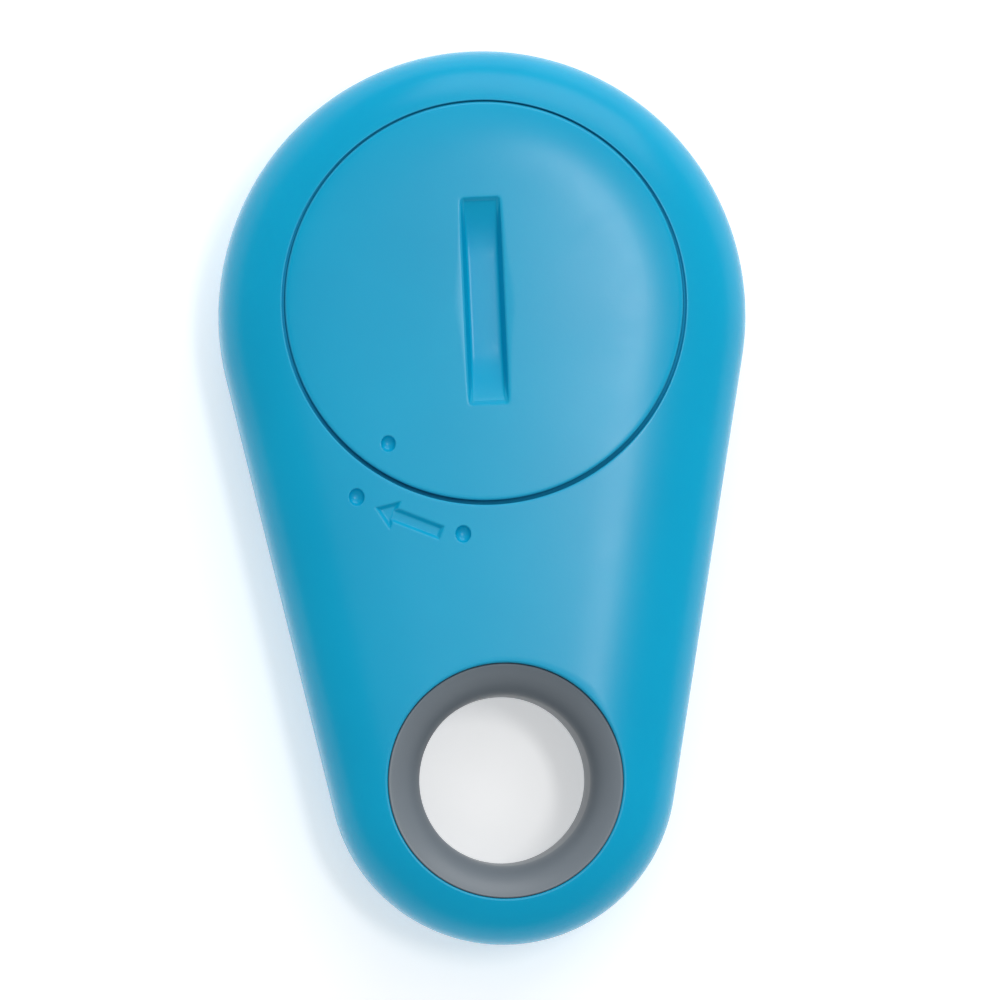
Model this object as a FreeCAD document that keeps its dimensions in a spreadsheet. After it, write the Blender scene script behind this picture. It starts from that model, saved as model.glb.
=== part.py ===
"""Teardrop bluetooth tracker tag, built as it comes apart on a bench.

The tag lies on its front (button) face at z = 0. Its rear face, with the coin-cell door, is up.
X is the width, +Y points from the keyring eyelet to the round head, and the origin is under the
centre of the outline. Lengths are millimetres and angles are degrees.
"""

import FreeCAD, Part
import os
import re
from math import asin, atan2, degrees, pi, radians

import Sketcher

# Driving dimensions: each one becomes a cell of the sheet, under its own alias.
SIZES = {
    # outer form: two circles joined by straight tangent sides
    "tag_length": 52.0,
    "tag_thickness": 11.0,
    "head_radius": 15.34,
    "tail_radius": 10.05,
    "crown_radius": 150.0,
    "rear_edge_round": 4.5,
    "front_edge_round": 4.0,
    # shells
    "side_wall": 1.2,
    "front_wall": 1.3,
    "rear_wall": 1.4,
    "inner_round": 3.0,
    "split_height": 5.5,
    "split_groove": 0.12,
    "lap_height": 1.2,
    "lap_clearance": 0.05,
    "edge_break": 0.15,
    # battery door, its bayonet and its seat
    "door_offset": 11.32,
    "door_radius": 11.55,
    "door_gap": 0.25,
    "door_flange": 1.1,
    "seat_clearance": 0.05,
    "ledge_radius": 10.95,
    "ledge_thickness": 0.75,
    "skirt_radius": 10.8,
    "skirt_bore": 10.15,
    "skirt_bottom": 8.1,
    "door_ceiling": 8.8,
    "lug_radius": 11.5,
    "lug_bottom": 8.2,
    "lug_thickness": 0.8,
    "lug_angle": 24.0,
    "notch_angle": 27.0,
    "door_turn": 28.0,
    "chamber_radius": 11.65,
    "chamber_wall": 0.8,
    "chamber_bottom": 5.2,
    "rib_radius": 10.2,
    "rib_angle": 6.0,
    "rib_clearance": 0.2,
    # coin slot and marks
    "slot_width": 2.27,
    "slot_length": 12.0,
    "slot_depth": 1.0,
    "slot_draft": 20.0,
    "dot_radius": 0.6,
    "dot_mouth": 0.48,
    "door_dot_offset": 9.97,
    "door_dot_angle": 36.5,
    "shell_dot_offset": 13.55,
    "lock_angle": 35.6,
    "unlock_angle": 7.8,
    "arrow_angle": 21.6,
    "arrow_turn": 23.6,
    "arrow_offset": 13.44,
    "arrow_length": 4.0,
    "arrow_head": 1.15,
    "arrow_width": 1.6,
    "arrow_shaft": 0.75,
    "arrow_depth": 0.2,
    # keyring eyelet
    "eyelet_offset": 16.44,
    "eyelet_radius": 6.8,
    "eyelet_bore": 4.85,
    "eyelet_top": 10.55,
    "bell_radius": 2.6,
    "eyelet_flange": 1.2,
    "eyelet_neck": 6.2,
    "eyelet_clearance": 0.08,
    "collar_wall": 1.1,
    "eyelet_edge_break": 0.2,
    # push button
    "button_radius": 6.0,
    "button_gap": 0.2,
    "button_recess": 0.15,
    "button_flange": 7.1,
    "button_flange_thickness": 0.65,
    "button_boss": 1.2,
    # circuit board and its posts
    "board_bottom": 3.9,
    "board_thickness": 1.0,
    "board_inset": 1.6,
    "board_end": 8.8,
    "post_radius": 0.9,
    "pin_radius": 0.6,
    "pin_clearance": 0.1,
    "upper_post_x": 11.2,
    "upper_post_y": 2.5,
    "lower_post_x": 8.4,
    "lower_post_y": 7.2,
    # status lamp, light pipe and sound holes
    "light_radius": 1.0,
    "light_offset": 1.6,
    "lamp_tip": 3.0,
    "sound_radius": 0.55,
    "sound_pitch": 2.2,
    "sound_offset": 5.4,
    # push button's dished face and the switch under it
    "button_rim": 0.6,
    "button_dish": 0.2,
    "slot_round": 0.15,
    "switch_tip": 2.25,
    "switch_size": 4.5,
    "switch_plunger": 1.1,
    "switch_well": 1.75,
    "switch_floor": 0.35,
    "frame_sheet": 0.2,
    "frame_skirt": 0.9,
    "frame_side": 0.15,
    "plunger_gap": 0.12,
    "leg_length": 0.8,
    "leg_width": 0.6,
    "leg_sheet": 0.2,
    "leg_spread": 1.5,
    # radio chip and its neighbours
    "copper": 0.05,
    "antenna_offset": 20.4,
    "antenna_depth": 2.2,
    "antenna_line": 0.5,
    "antenna_pitch": 1.3,
    "chip_offset": 4.6,
    "chip_length": 9.9,
    "chip_width": 3.9,
    "chip_height": 1.25,
    "chip_stand": 0.15,
    "pin_mark_radius": 0.35,
    "pin_mark_depth": 0.12,
    "chip_span": 6.0,
    "lead_pitch": 1.27,
    "lead_width": 0.42,
    "lead_sheet": 0.2,
    "passive_length": 1.6,
    "passive_width": 0.8,
    "passive_end": 0.3,
    "capacitor_height": 0.8,
    "resistor_height": 0.5,
    "crystal_x": 8.3,
    "crystal_y": 3.6,
    "crystal_length": 3.2,
    "crystal_width": 2.5,
    "crystal_height": 0.8,
    "crystal_corner": 0.4,
    "inductor_x": 8.3,
    "inductor_y": 3.6,
    "inductor_size": 3.0,
    "inductor_height": 1.2,
    "inductor_corner": 0.5,
    "led_length": 2.0,
    "led_width": 1.25,
    "led_base": 0.35,
    "lens_length": 1.5,
    "lens_draft": 8.0,
    # sounder and coin cell
    "buzzer_offset": 5.0,
    "buzzer_size": 7.5,
    "buzzer_height": 2.5,
    "buzzer_floor": 0.4,
    "buzzer_wall": 0.35,
    "buzzer_port_width": 2.0,
    "buzzer_port_height": 0.6,
    "buzzer_pad_width": 1.4,
    "buzzer_pad_height": 0.8,
    "buzzer_pad_sheet": 0.3,
    "cell_bottom": 5.5,
    "cell_diameter": 20.0,
    "cell_height": 3.2,
    "positive_width": 3.0,
    "negative_width": 3.5,
}

doc = FreeCAD.newDocument("tracker_tag")
vector = FreeCAD.Vector
subparts = []


# ---- the sheet and its formulas -------------------------------------------------------------


def make_sheet():
    sheet = doc.addObject("Spreadsheet::Sheet", "Dims")
    for row, (alias, size) in enumerate(SIZES.items(), start=1):
        sheet.set(f"A{row}", alias)
        sheet.set(f"B{row}", str(size))
        sheet.setAlias(f"B{row}", alias)
    doc.recompute()
    return sheet


dims = make_sheet()


def formula(text):
    """The text as an expression: every alias in it is looked up in the sheet."""
    return re.sub("[a-z_]+", lambda word: f"Dims.{word[0]}" if word[0] in SIZES else word[0], text)


def value(text):
    return float(dims.evalExpression(formula(text)))


def bind(item, **texts):
    for name, text in texts.items():
        item.setExpression(name, formula(text))


def move(item, x="0", y="0", z="0"):
    """Bind the item's Placement to three formulas."""
    for axis, text in (("x", x), ("y", y), ("z", z)):
        item.setExpression(f"Placement.Base.{axis}", formula(text))
    return item


def turn(item, angle):
    """Bind a turn about +Z through the item's own origin."""
    item.Placement.Rotation = FreeCAD.Rotation(vector(0, 0, 1), 1)
    item.setExpression("Placement.Rotation.Angle", formula(angle))
    return item


def subpart(item, label):
    """Name one finished piece; the label names its file."""
    item.Label = label
    subparts.append(item)
    return item


# ---- sketches -------------------------------------------------------------------------------


def draw(owner, plane, name, height="0"):
    """A sketch on one of a body's origin planes, lifted off it by height."""
    sketch = owner.newObject("Sketcher::SketchObject", name)
    support = next(feature for feature in owner.Origin.OriginFeatures if feature.Role == plane)
    sketch.AttachmentSupport = [(support, "")]
    sketch.MapMode = "FlatFace"
    sketch.setExpression("AttachmentOffset.Base.z", formula(height))
    return sketch


def measure(sketch, kind, geometry, text):
    index = sketch.addConstraint(Sketcher.Constraint(kind, geometry, value(text)))
    sketch.setExpression(f"Constraints[{index}]", formula(text))


def locate(sketch, geometry, point, x, y):
    """Dimension one point from the sketch's origin along both of its axes."""
    for kind, axis, text in (("DistanceX", -2, x), ("DistanceY", -1, y)):
        if abs(value(text)) < 1e-9:
            sketch.addConstraint(Sketcher.Constraint("PointOnObject", geometry, point, axis))
        else:
            rule = Sketcher.Constraint(kind, -1, 1, geometry, point, value(text))
            index = sketch.addConstraint(rule)
            sketch.setExpression(f"Constraints[{index}]", formula(text))


def circle(sketch, radius, x="0", y="0"):
    ring = Part.Circle(vector(value(x), value(y), 0), vector(0, 0, 1), value(radius))
    index = sketch.addGeometry(ring)
    locate(sketch, index, 3, x, y)
    measure(sketch, "Radius", index, radius)


def polygon(sketch, corners):
    """A closed straight-sided outline whose corners are pairs of formulas."""
    first = sketch.GeometryCount
    points = [vector(value(x), value(y), 0) for x, y in corners]
    for start, end in zip(points, points[1:] + points[:1]):
        sketch.addGeometry(Part.LineSegment(start, end))
    for index, (x, y) in enumerate(corners):
        before = first + (index - 1) % len(corners)
        sketch.addConstraint(Sketcher.Constraint("Coincident", before, 2, first + index, 1))
        locate(sketch, first + index, 1, x, y)


def rectangle(sketch, width, length, x="0", y="0"):
    """A rectangle centred on x, y."""
    sides = [("-", "-"), ("+", "-"), ("+", "+"), ("-", "+")]
    polygon(sketch, [(f"{x} {i} ({width}) / 2", f"{y} {j} ({length}) / 2") for i, j in sides])


def teardrop(sketch, inset):
    """The tag's outline moved in by inset: a head arc, a tail arc and their two tangents."""
    places = {
        "head": (f"head_radius - ({inset})", "tag_length / 2 - head_radius"),
        "tail": (f"tail_radius - ({inset})", "tail_radius - tag_length / 2"),
    }
    spread = value(places["head"][1]) - value(places["tail"][1])
    slant = asin((value("head_radius") - value("tail_radius")) / spread)
    spans = {"head": (-slant, pi + slant), "tail": (pi + slant, 2 * pi - slant)}
    arcs = {}
    for name, (radius, y) in places.items():
        base = Part.Circle(vector(0, value(y), 0), vector(0, 0, 1), value(radius))
        arcs[name] = sketch.addGeometry(Part.ArcOfCircle(base, *spans[name]))
    head, tail = (sketch.Geometry[arcs[name]] for name in ("head", "tail"))
    left = sketch.addGeometry(Part.LineSegment(head.EndPoint, tail.StartPoint))
    right = sketch.addGeometry(Part.LineSegment(tail.EndPoint, head.StartPoint))
    for first, end, second, start in (
        (arcs["head"], 2, left, 1),
        (left, 2, arcs["tail"], 1),
        (arcs["tail"], 2, right, 1),
        (right, 2, arcs["head"], 1),
    ):
        sketch.addConstraint(Sketcher.Constraint("Tangent", first, end, second, start))
    for name, (radius, y) in places.items():
        locate(sketch, arcs[name], 3, "0", y)
        measure(sketch, "Radius", arcs[name], radius)


# ---- features -------------------------------------------------------------------------------


def body(name):
    return doc.addObject("PartDesign::Body", name)


def pad(owner, sketch, height, **options):
    feature = owner.newObject("PartDesign::Pad", sketch.Name + "_pad")
    feature.Profile = sketch
    bind(feature, Length=height)
    for name, setting in options.items():
        setattr(feature, name, setting)
    sketch.Visibility = False
    return feature


def pocket(owner, sketch, depth, **options):
    feature = owner.newObject("PartDesign::Pocket", sketch.Name + "_pocket")
    feature.Profile = sketch
    bind(feature, Length=depth)
    for name, setting in options.items():
        setattr(feature, name, setting)
    return feature


def revolve(owner, sketch, kind="Revolution"):
    """A full turn of the sketch about its own vertical axis."""
    feature = owner.newObject(f"PartDesign::{kind}", f"{sketch.Name}_{kind.lower()}")
    feature.Profile = sketch
    feature.ReferenceAxis = (sketch, ["V_Axis"])
    feature.Angle = 360
    return feature


def edges_of(feature, test):
    """Names of the feature's edges whose sampled points all pass the test."""
    doc.recompute()
    names = []
    for index, edge in enumerate(feature.Shape.Edges, start=1):
        if not edge.Degenerated and all(test(point) for point in edge.discretize(5)):
            names.append(f"Edge{index}")
    return names


def blend(owner, base, names, radius):
    feature = owner.newObject("PartDesign::Fillet", base.Name + "_round")
    feature.Base = (base, names)
    bind(feature, Radius=radius)
    return feature


def solid(name, kind, x="0", y="0", z="0", **sizes):
    """A Part primitive with its sizes and its place bound to formulas."""
    item = doc.addObject(f"Part::{kind}", name)
    bind(item, **sizes)
    return move(item, x, y, z)


def block(name, length, width, height, x="0", y="0", z="0"):
    """A box centred on x, y and standing on z."""
    place = (f"{x} - ({length}) / 2", f"{y} - ({width}) / 2", z)
    return solid(name, "Box", *place, Length=length, Width=width, Height=height)


def disc(name, radius, height, x="0", y="0", z="0"):
    return solid(name, "Cylinder", x, y, z, Radius=radius, Height=height)


def cut(name, base, *tools):
    for number, tool in enumerate(tools, start=1):
        step = doc.addObject("Part::Cut", name if number == len(tools) else f"{name}_{number}")
        step.Base = base
        step.Tool = tool
        base = step
    return base


def join(name, *pieces, kind="MultiFuse"):
    item = doc.addObject(f"Part::{kind}", name)
    item.Shapes = pieces
    return item


def common(name, *pieces):
    return join(name, *pieces, kind="MultiCommon")


# ---- outer form and cavity, shared by both shells and the door ---------------------------------


def make_outer_form():
    """The closed tag: a teardrop pad with a crowned rear face and rounded edges."""
    form = body("outer_form")
    outline = draw(form, "XY_Plane", "outer_outline")
    teardrop(outline, "0")
    block_pad = pad(form, outline, "tag_thickness")
    crown = draw(form, "XZ_Plane", "crown")
    circle(crown, "crown_radius", y="tag_thickness - crown_radius")
    circle(crown, "crown_radius + tag_thickness", y="tag_thickness - crown_radius")
    crowned = pocket(form, crown, "2 * tag_length", Midplane=True)
    rear = edges_of(crowned, lambda p: p.z > value("tag_thickness") - 1.5)
    rounded = blend(form, crowned, rear, "rear_edge_round")
    front = edges_of(rounded, lambda p: p.z < 0.01)
    blend(form, rounded, front, "front_edge_round")
    return form


def make_cavity():
    """The hollow that the two shells enclose."""
    hollow = body("cavity")
    outline = draw(hollow, "XY_Plane", "cavity_outline", "front_wall")
    teardrop(outline, "side_wall")
    filled = pad(hollow, outline, "tag_thickness - front_wall - rear_wall")
    ceiling = value("tag_thickness - rear_wall")
    floor = value("front_wall")
    ends = edges_of(filled, lambda p: abs(p.z - ceiling) < 0.01 or abs(p.z - floor) < 0.01)
    blend(hollow, filled, ends, "inner_round")
    return hollow


def make_prism(name, inset, bottom, height):
    """A straight-sided teardrop, used for the lap joint and the circuit board."""
    prism = body(name)
    outline = draw(prism, "XY_Plane", f"{name}_outline", bottom)
    teardrop(outline, inset)
    pad(prism, outline, height)
    return prism


def crown_height(x):
    """Height of the crowned rear face at one x."""
    return f"tag_thickness - crown_radius + sqrt(crown_radius ^ 2 - ({x}) ^ 2)"


def around_door(offset, angle):
    """A place at one offset from the door's centre, angle measured clockwise from -Y."""
    return f"0 - {offset} * sin({angle})", f"door_offset - {offset} * cos({angle})"


def sector(name, inner, outer, angle, middle, bottom, height):
    """Part of a ring about the door's centre, angle wide, its middle at one turn from +X."""
    wedge = disc(f"{name}_wedge", outer, height, "0", "door_offset", bottom)
    bind(wedge, Angle=angle)
    turn(wedge, f"{middle} - ({angle}) / 2")
    core = disc(f"{name}_core", inner, f"{height} + 2", "0", "door_offset", f"{bottom} - 1")
    return cut(name, wedge, core)


def tube(name, inner, outer, bottom, height, y):
    wall = disc(f"{name}_wall", outer, height, "0", y, bottom)
    hole = disc(f"{name}_hole", inner, f"{height} + 2", "0", y, f"{bottom} - 1")
    return cut(name, wall, hole)


def dimple(name, offset, angle):
    """A ball that leaves a round dimple in the crowned face."""
    x, y = around_door(offset, angle)
    height = f"{crown_height(x)} + sqrt(dot_radius ^ 2 - dot_mouth ^ 2)"
    return solid(name, "Sphere", x, y, height, Radius="dot_radius")


def finish(label, blank, groups):
    """A body on top of a Part blank, whose edge groups are rounded one after another."""
    piece = body(label)
    piece.BaseFeature = blank
    doc.recompute()
    feature = piece.Tip
    for test, radius in groups:
        names = edges_of(feature, test)
        if not names:
            raise RuntimeError(f"{label} has no edge to round by {radius}")
        feature = blend(piece, feature, names, radius)
    return piece


def ring_edge(radius, y, lowest, highest):
    """A test for points on a circle about a vertical axis at x = 0."""
    def test(point):
        reach = (point.x**2 + (point.y - value(y)) ** 2) ** 0.5
        return abs(reach - value(radius)) < 0.01 and lowest < point.z < highest
    return test


LUG_TURNS = ("90", "210", "330")
RIB_TURNS = ("45", "135", "225", "315")
POSTS = (
    ("upper_post_x", "upper_post_y"),
    ("0 - upper_post_x", "upper_post_y"),
    ("lower_post_x", "0 - lower_post_y"),
    ("0 - lower_post_x", "0 - lower_post_y"),
)
EYELET_Y = "0 - eyelet_offset"
EYELET_STEP = "eyelet_flange + eyelet_clearance"
COLLAR_RADIUS = "eyelet_neck + eyelet_clearance + collar_wall"
BOARD_TOP = "board_bottom + board_thickness"


def make_arrow():
    """The lock arrow's outline, pointing along +X and then turned clockwise about the door."""
    arrow = body("arrow_tool")
    outline = draw(arrow, "XY_Plane", "arrow_outline")
    tail, neck, tip = "0 - arrow_length / 2", "arrow_length / 2 - arrow_head", "arrow_length / 2"
    shaft, barb = "arrow_shaft / 2", "arrow_width / 2"
    upper = [(neck, shaft), (neck, barb)]
    lower = [(neck, f"0 - {barb}"), (neck, f"0 - {shaft}")]
    polygon(outline, [(tail, f"0 - {shaft}")] + lower[::-1] + [(tip, "0")] + upper[::-1] + [(tail, shaft)])
    pad(arrow, outline, "1")
    x, y = around_door("arrow_offset", "arrow_angle")
    move(arrow, x, y, f"{crown_height(x)} - arrow_depth")
    return turn(arrow, "180 - arrow_turn")


def eyelet_cuts(name, seat):
    """One shell's hole for the eyelet's neck, and its counterbore for a flange, from height seat."""
    neck, wide = "eyelet_neck + eyelet_clearance", "eyelet_radius + eyelet_clearance"
    return [
        disc(f"{name}_bore", neck, "2 * tag_thickness", "0", EYELET_Y, "-1"),
        disc(f"{name}_seat", wide, "tag_thickness", "0", EYELET_Y, seat),
    ]


def make_rear_shell(form, hollow):
    base = "split_height + split_groove / 2"
    upper = block("upper_half", "2 * tag_length", "2 * tag_length", "tag_thickness", z=base)
    half = common("rear_half", form, upper)
    rebate = make_prism("rebate", "side_wall / 2", "split_height - 1", "lap_height + 1")
    hollowed = cut("rear_hollowed", half, hollow, rebate)
    ledge_bottom = "tag_thickness - door_flange - seat_clearance - ledge_thickness"
    chamber_outer = "chamber_radius + chamber_wall"
    size = ("ledge_radius", chamber_outer, ledge_bottom, "ledge_thickness + 0.5")
    ledge = tube("ledge", *size, "door_offset")
    size = ("chamber_radius", chamber_outer, "chamber_bottom", f"{ledge_bottom} + 0.1 - chamber_bottom")
    chamber = tube("chamber", *size, "door_offset")
    collar_height = f"tag_thickness - rear_wall / 2 - ({base})"
    collar = disc("rear_collar", COLLAR_RADIUS, collar_height, "0", EYELET_Y, base)
    inner = [ledge, chamber, collar]
    rib_height = "skirt_bottom - rib_clearance - chamber_bottom"
    rib_outer = "chamber_radius + chamber_wall / 2"
    for number, middle in enumerate(RIB_TURNS, start=1):
        size = ("rib_radius", rib_outer, "rib_angle", middle, "chamber_bottom", rib_height)
        inner.append(sector(f"cell_rib_{number}", *size))
    post_height = f"tag_thickness - rear_wall / 2 - ({BOARD_TOP})"
    for number, (x, y) in enumerate(POSTS, start=1):
        inner.append(disc(f"rear_post_{number}", "post_radius", post_height, x, y, BOARD_TOP))
    whole = join("rear_whole", hollowed, common("rear_inner", form, join("rear_features", *inner)))
    seat = "tag_thickness - door_flange - seat_clearance"
    openings = [
        disc("aperture", "door_radius + door_gap", "3", "0", "door_offset", seat),
        disc("ledge_bore", "ledge_radius", "3", "0", "door_offset", f"{ledge_bottom} - 1"),
    ]
    for number, middle in enumerate(LUG_TURNS, start=1):
        size = ("ledge_radius - 0.5", "chamber_radius", "notch_angle")
        place = (f"{middle} + door_turn", f"{ledge_bottom} - 0.5", "ledge_thickness + 1")
        openings.append(sector(f"notch_{number}", *size, *place))
    openings += eyelet_cuts("rear_eyelet", f"eyelet_top - ({EYELET_STEP})")
    openings.append(dimple("lock_dimple", "shell_dot_offset", "lock_angle"))
    openings.append(dimple("unlock_dimple", "shell_dot_offset", "unlock_angle"))
    openings.append(make_arrow())
    blank = cut("rear_blank", whole, *openings)
    rims = [
        (ring_edge("door_radius + door_gap", "door_offset", 10, 12), "edge_break"),
        (ring_edge("eyelet_radius + eyelet_clearance", EYELET_Y, 10, 12), "eyelet_edge_break"),
    ]
    return subpart(finish("rear_shell", blank, rims), "rear_shell")


def make_front_shell(form, hollow):
    top = "split_height - split_groove / 2"
    lower = block("lower_half", "2 * tag_length", "2 * tag_length", top)
    half = common("front_half", form, lower)
    lip = make_prism("lap_lip", "side_wall / 2 + lap_clearance", top, "lap_height - split_groove")
    hollowed = cut("front_hollowed", join("front_lipped", half, lip), hollow)
    collar_height = f"{top} - front_wall / 2"
    inner = [disc("front_collar", COLLAR_RADIUS, collar_height, "0", EYELET_Y, "front_wall / 2")]
    for number, (x, y) in enumerate(POSTS, start=1):
        height = "board_bottom - front_wall / 2"
        inner.append(disc(f"front_post_{number}", "post_radius", height, x, y, "front_wall / 2"))
        height = f"{height} + board_thickness - 0.15"
        inner.append(disc(f"front_pin_{number}", "pin_radius", height, x, y, "front_wall / 2"))
    whole = join("front_whole", hollowed, common("front_inner", form, join("front_features", *inner)))
    openings = [
        disc("button_hole", "button_radius + button_gap", "3", "0", "door_offset", "-1"),
        disc("light_hole", "light_radius + 0.05", "3", "0", "light_offset", "-1"),
    ]
    for number in range(-1, 2):
        place = (f"{number} * sound_pitch", "0 - sound_offset", "-1")
        openings.append(disc(f"sound_hole_{number + 2}", "sound_radius", "3", *place))
    openings += eyelet_cuts("front_eyelet", f"{EYELET_STEP} - eyelet_top")
    blank = cut("front_blank", whole, *openings)
    rims = [
        (ring_edge("button_radius + button_gap", "door_offset", -1, 0.5), "edge_break"),
        (ring_edge("eyelet_radius + eyelet_clearance", EYELET_Y, -1, 1), "eyelet_edge_break"),
    ]
    return subpart(finish("front_shell", blank, rims), "front_shell")


def make_battery_door(form):
    """Flanged disc with a skirt, three bayonet lugs, a coin slot and a pointer dot."""
    flange_bottom = "tag_thickness - door_flange"
    plug = disc("door_plug", "door_radius", "3", "0", "door_offset", flange_bottom)
    lid = common("door_lid", form, plug)
    skirt_height = f"{flange_bottom} - skirt_bottom + 0.2"
    pieces = [lid, disc("door_skirt", "skirt_radius", skirt_height, "0", "door_offset", "skirt_bottom")]
    for number, middle in enumerate(LUG_TURNS, start=1):
        place = (middle, "lug_bottom", "lug_thickness")
        pieces.append(sector(f"lug_{number}", "skirt_bore", "lug_radius", "lug_angle", *place))
    whole = join("door_whole", *pieces)
    well = disc("door_well", "skirt_bore", "door_ceiling", "0", "door_offset")
    blank = cut("door_blank", whole, well, dimple("door_dimple", "door_dot_offset", "door_dot_angle"))
    door = body("battery_door")
    door.BaseFeature = blank
    doc.recompute()
    outline = draw(door, "XY_Plane", "coin_slot", "tag_thickness")
    rectangle(outline, "slot_width", "slot_length", y="door_offset")
    slot = pocket(door, outline, "slot_depth")
    bind(slot, TaperAngle="0 - slot_draft")
    rim = edges_of(slot, ring_edge("door_radius", "door_offset", 10, 12))
    feature = blend(door, slot, rim, "edge_break")
    mouth = edges_of(feature, in_slot(10.9, 11.1))
    blend(door, feature, mouth, "slot_round")
    return subpart(door, "battery_door")


def in_slot(lowest, highest):
    """A test for points in the coin slot, between two heights."""
    def test(point):
        across = abs(point.x) < value("slot_width / 2") + 0.1
        along = abs(point.y - value("door_offset")) < value("slot_length / 2") + 0.1
        return across and along and lowest < point.z < highest
    return test


def make_eyelet():
    """Keyring eyelet: an hourglass bore between two flanges."""
    eyelet = body("eyelet_ring")
    move(eyelet, y=EYELET_Y)
    profile = draw(eyelet, "XZ_Plane", "eyelet_profile")
    rise = "sqrt(bell_radius ^ 2 - (bell_radius - eyelet_radius + eyelet_bore) ^ 2)"
    bottom, waist = "tag_thickness - eyelet_top", f"eyelet_top - {rise}"
    step = "eyelet_top - eyelet_flange"
    outside = [
        ("eyelet_bore", f"tag_thickness - ({waist})"),
        ("eyelet_radius", bottom),
        ("eyelet_radius", f"tag_thickness - ({step})"),
        ("eyelet_neck", f"tag_thickness - ({step})"),
        ("eyelet_neck", step),
        ("eyelet_radius", step),
        ("eyelet_radius", "eyelet_top"),
        ("eyelet_bore", waist),
    ]
    bells = {0: f"tag_thickness - ({waist})", 6: waist}
    curved_outline(profile, outside, bells, "eyelet_bore + bell_radius")
    revolve(eyelet, profile)
    return subpart(eyelet, "eyelet_ring")


def curved_outline(sketch, corners, arcs, centre):
    """A polygon in which the numbered sides are arcs about (centre, height)."""
    points = [vector(value(x), value(y), 0) for x, y in corners]
    ends = []
    for index, (start, finish_point) in enumerate(zip(points, points[1:] + points[:1])):
        if index in arcs:
            middle = vector(value(centre), value(arcs[index]), 0)
            spans = [degrees_of(point - middle) for point in (start, finish_point)]
            ordered = spans if (spans[1] - spans[0]) % 360 < 180 else spans[::-1]
            ring = Part.Circle(middle, vector(0, 0, 1), (start - middle).Length)
            arc = Part.ArcOfCircle(ring, radians(ordered[0]), radians(ordered[1]))
            sketch.addGeometry(arc)
            ends.append((1, 2) if ordered == spans else (2, 1))
            rule = Sketcher.Constraint("DistanceY", -1, 1, index, 3, middle.y)
            sketch.setExpression(f"Constraints[{sketch.addConstraint(rule)}]", formula(arcs[index]))
        else:
            sketch.addGeometry(Part.LineSegment(start, finish_point))
            ends.append((1, 2))
    for index, (x, y) in enumerate(corners):
        before = (index - 1) % len(corners)
        rule = Sketcher.Constraint("Coincident", before, ends[before][1], index, ends[index][0])
        sketch.addConstraint(rule)
        locate(sketch, index, ends[index][0], x, y)


def degrees_of(arrow):
    return degrees(atan2(arrow.y, arrow.x)) % 360


def turned(label, corners, x="0", y="0", z="0"):
    """A piece turned about its own vertical axis from corners given as (radius, height)."""
    piece = body(label)
    move(piece, x, y, z)
    profile = draw(piece, "XZ_Plane", f"{label}_profile")
    polygon(profile, corners)
    revolve(piece, profile)
    return subpart(piece, label)


def make_push_button():
    seat = "front_wall + 0.05"
    top = f"{seat} + button_flange_thickness"
    corners = [
        ("0", "button_recess + button_dish"),
        ("button_radius - button_rim", "button_recess + button_dish"),
        ("button_radius - button_rim / 2", "button_recess"),
        ("button_radius", "button_recess + button_rim / 2"),
        ("button_radius", seat),
        ("button_flange", seat),
        ("button_flange", top),
        ("button_boss", top),
        ("button_boss", "switch_tip - 0.05"),
        ("0", "switch_tip - 0.05"),
    ]
    return turned("push_button", corners, y="door_offset")


def make_light_pipe():
    inside = "front_wall + 0.02"
    corners = [
        ("0", "0.1"),
        ("light_radius - 0.2", "0.1"),
        ("light_radius", "0.3"),
        ("light_radius", inside),
        ("light_radius + 0.6", inside),
        ("light_radius + 0.6", f"{inside} + 0.6"),
        ("light_radius - 0.1", f"{inside} + 0.8"),
        ("light_radius - 0.1", "lamp_tip - 0.1"),
        ("0", "lamp_tip - 0.1"),
    ]
    return turned("light_pipe", corners, y="light_offset")


# ---- circuit board and what is soldered to it ---------------------------------------------------


def make_circuit_board():
    slab = make_prism("board_slab", "board_inset", "board_bottom", "board_thickness")
    middle = "tag_length / 2 - board_end"
    keep = block("board_keep", "2 * tag_length", "tag_length", "tag_thickness", y=middle)
    trimmed = common("board_trimmed", slab, keep)
    holes = []
    for number, (x, y) in enumerate(POSTS, start=1):
        reach = "pin_radius + pin_clearance"
        holes.append(disc(f"board_hole_{number}", reach, "tag_thickness", x, y))
    return subpart(cut("circuit_board", trimmed, *holes), "circuit_board")


def group(label, pieces):
    """Separate solids that share one node."""
    item = doc.addObject("Part::Compound", label)
    item.Links = pieces
    return subpart(item, label)


def make_antenna():
    """A printed meander near the head's edge, on the board's front face."""
    pieces = []
    pitch = "antenna_pitch"
    low, high = "antenna_offset", "antenna_offset + antenna_depth"
    depth = "board_bottom - copper"
    for number in range(7):
        x = f"({number} - 3) * {pitch}"
        name = f"antenna_{number + 1}"
        size = ("antenna_line", "antenna_depth + antenna_line", "copper")
        pieces.append(block(f"{name}_run", *size, x, "antenna_offset + antenna_depth / 2", depth))
        if number < 6:
            y = high if number % 2 == 0 else low
            size = (f"{pitch} + antenna_line", "antenna_line", "copper")
            pieces.append(block(f"{name}_link", *size, f"{x} + {pitch} / 2", y, depth))
    return subpart(join("antenna_trace", *pieces), "antenna_trace")


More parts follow.
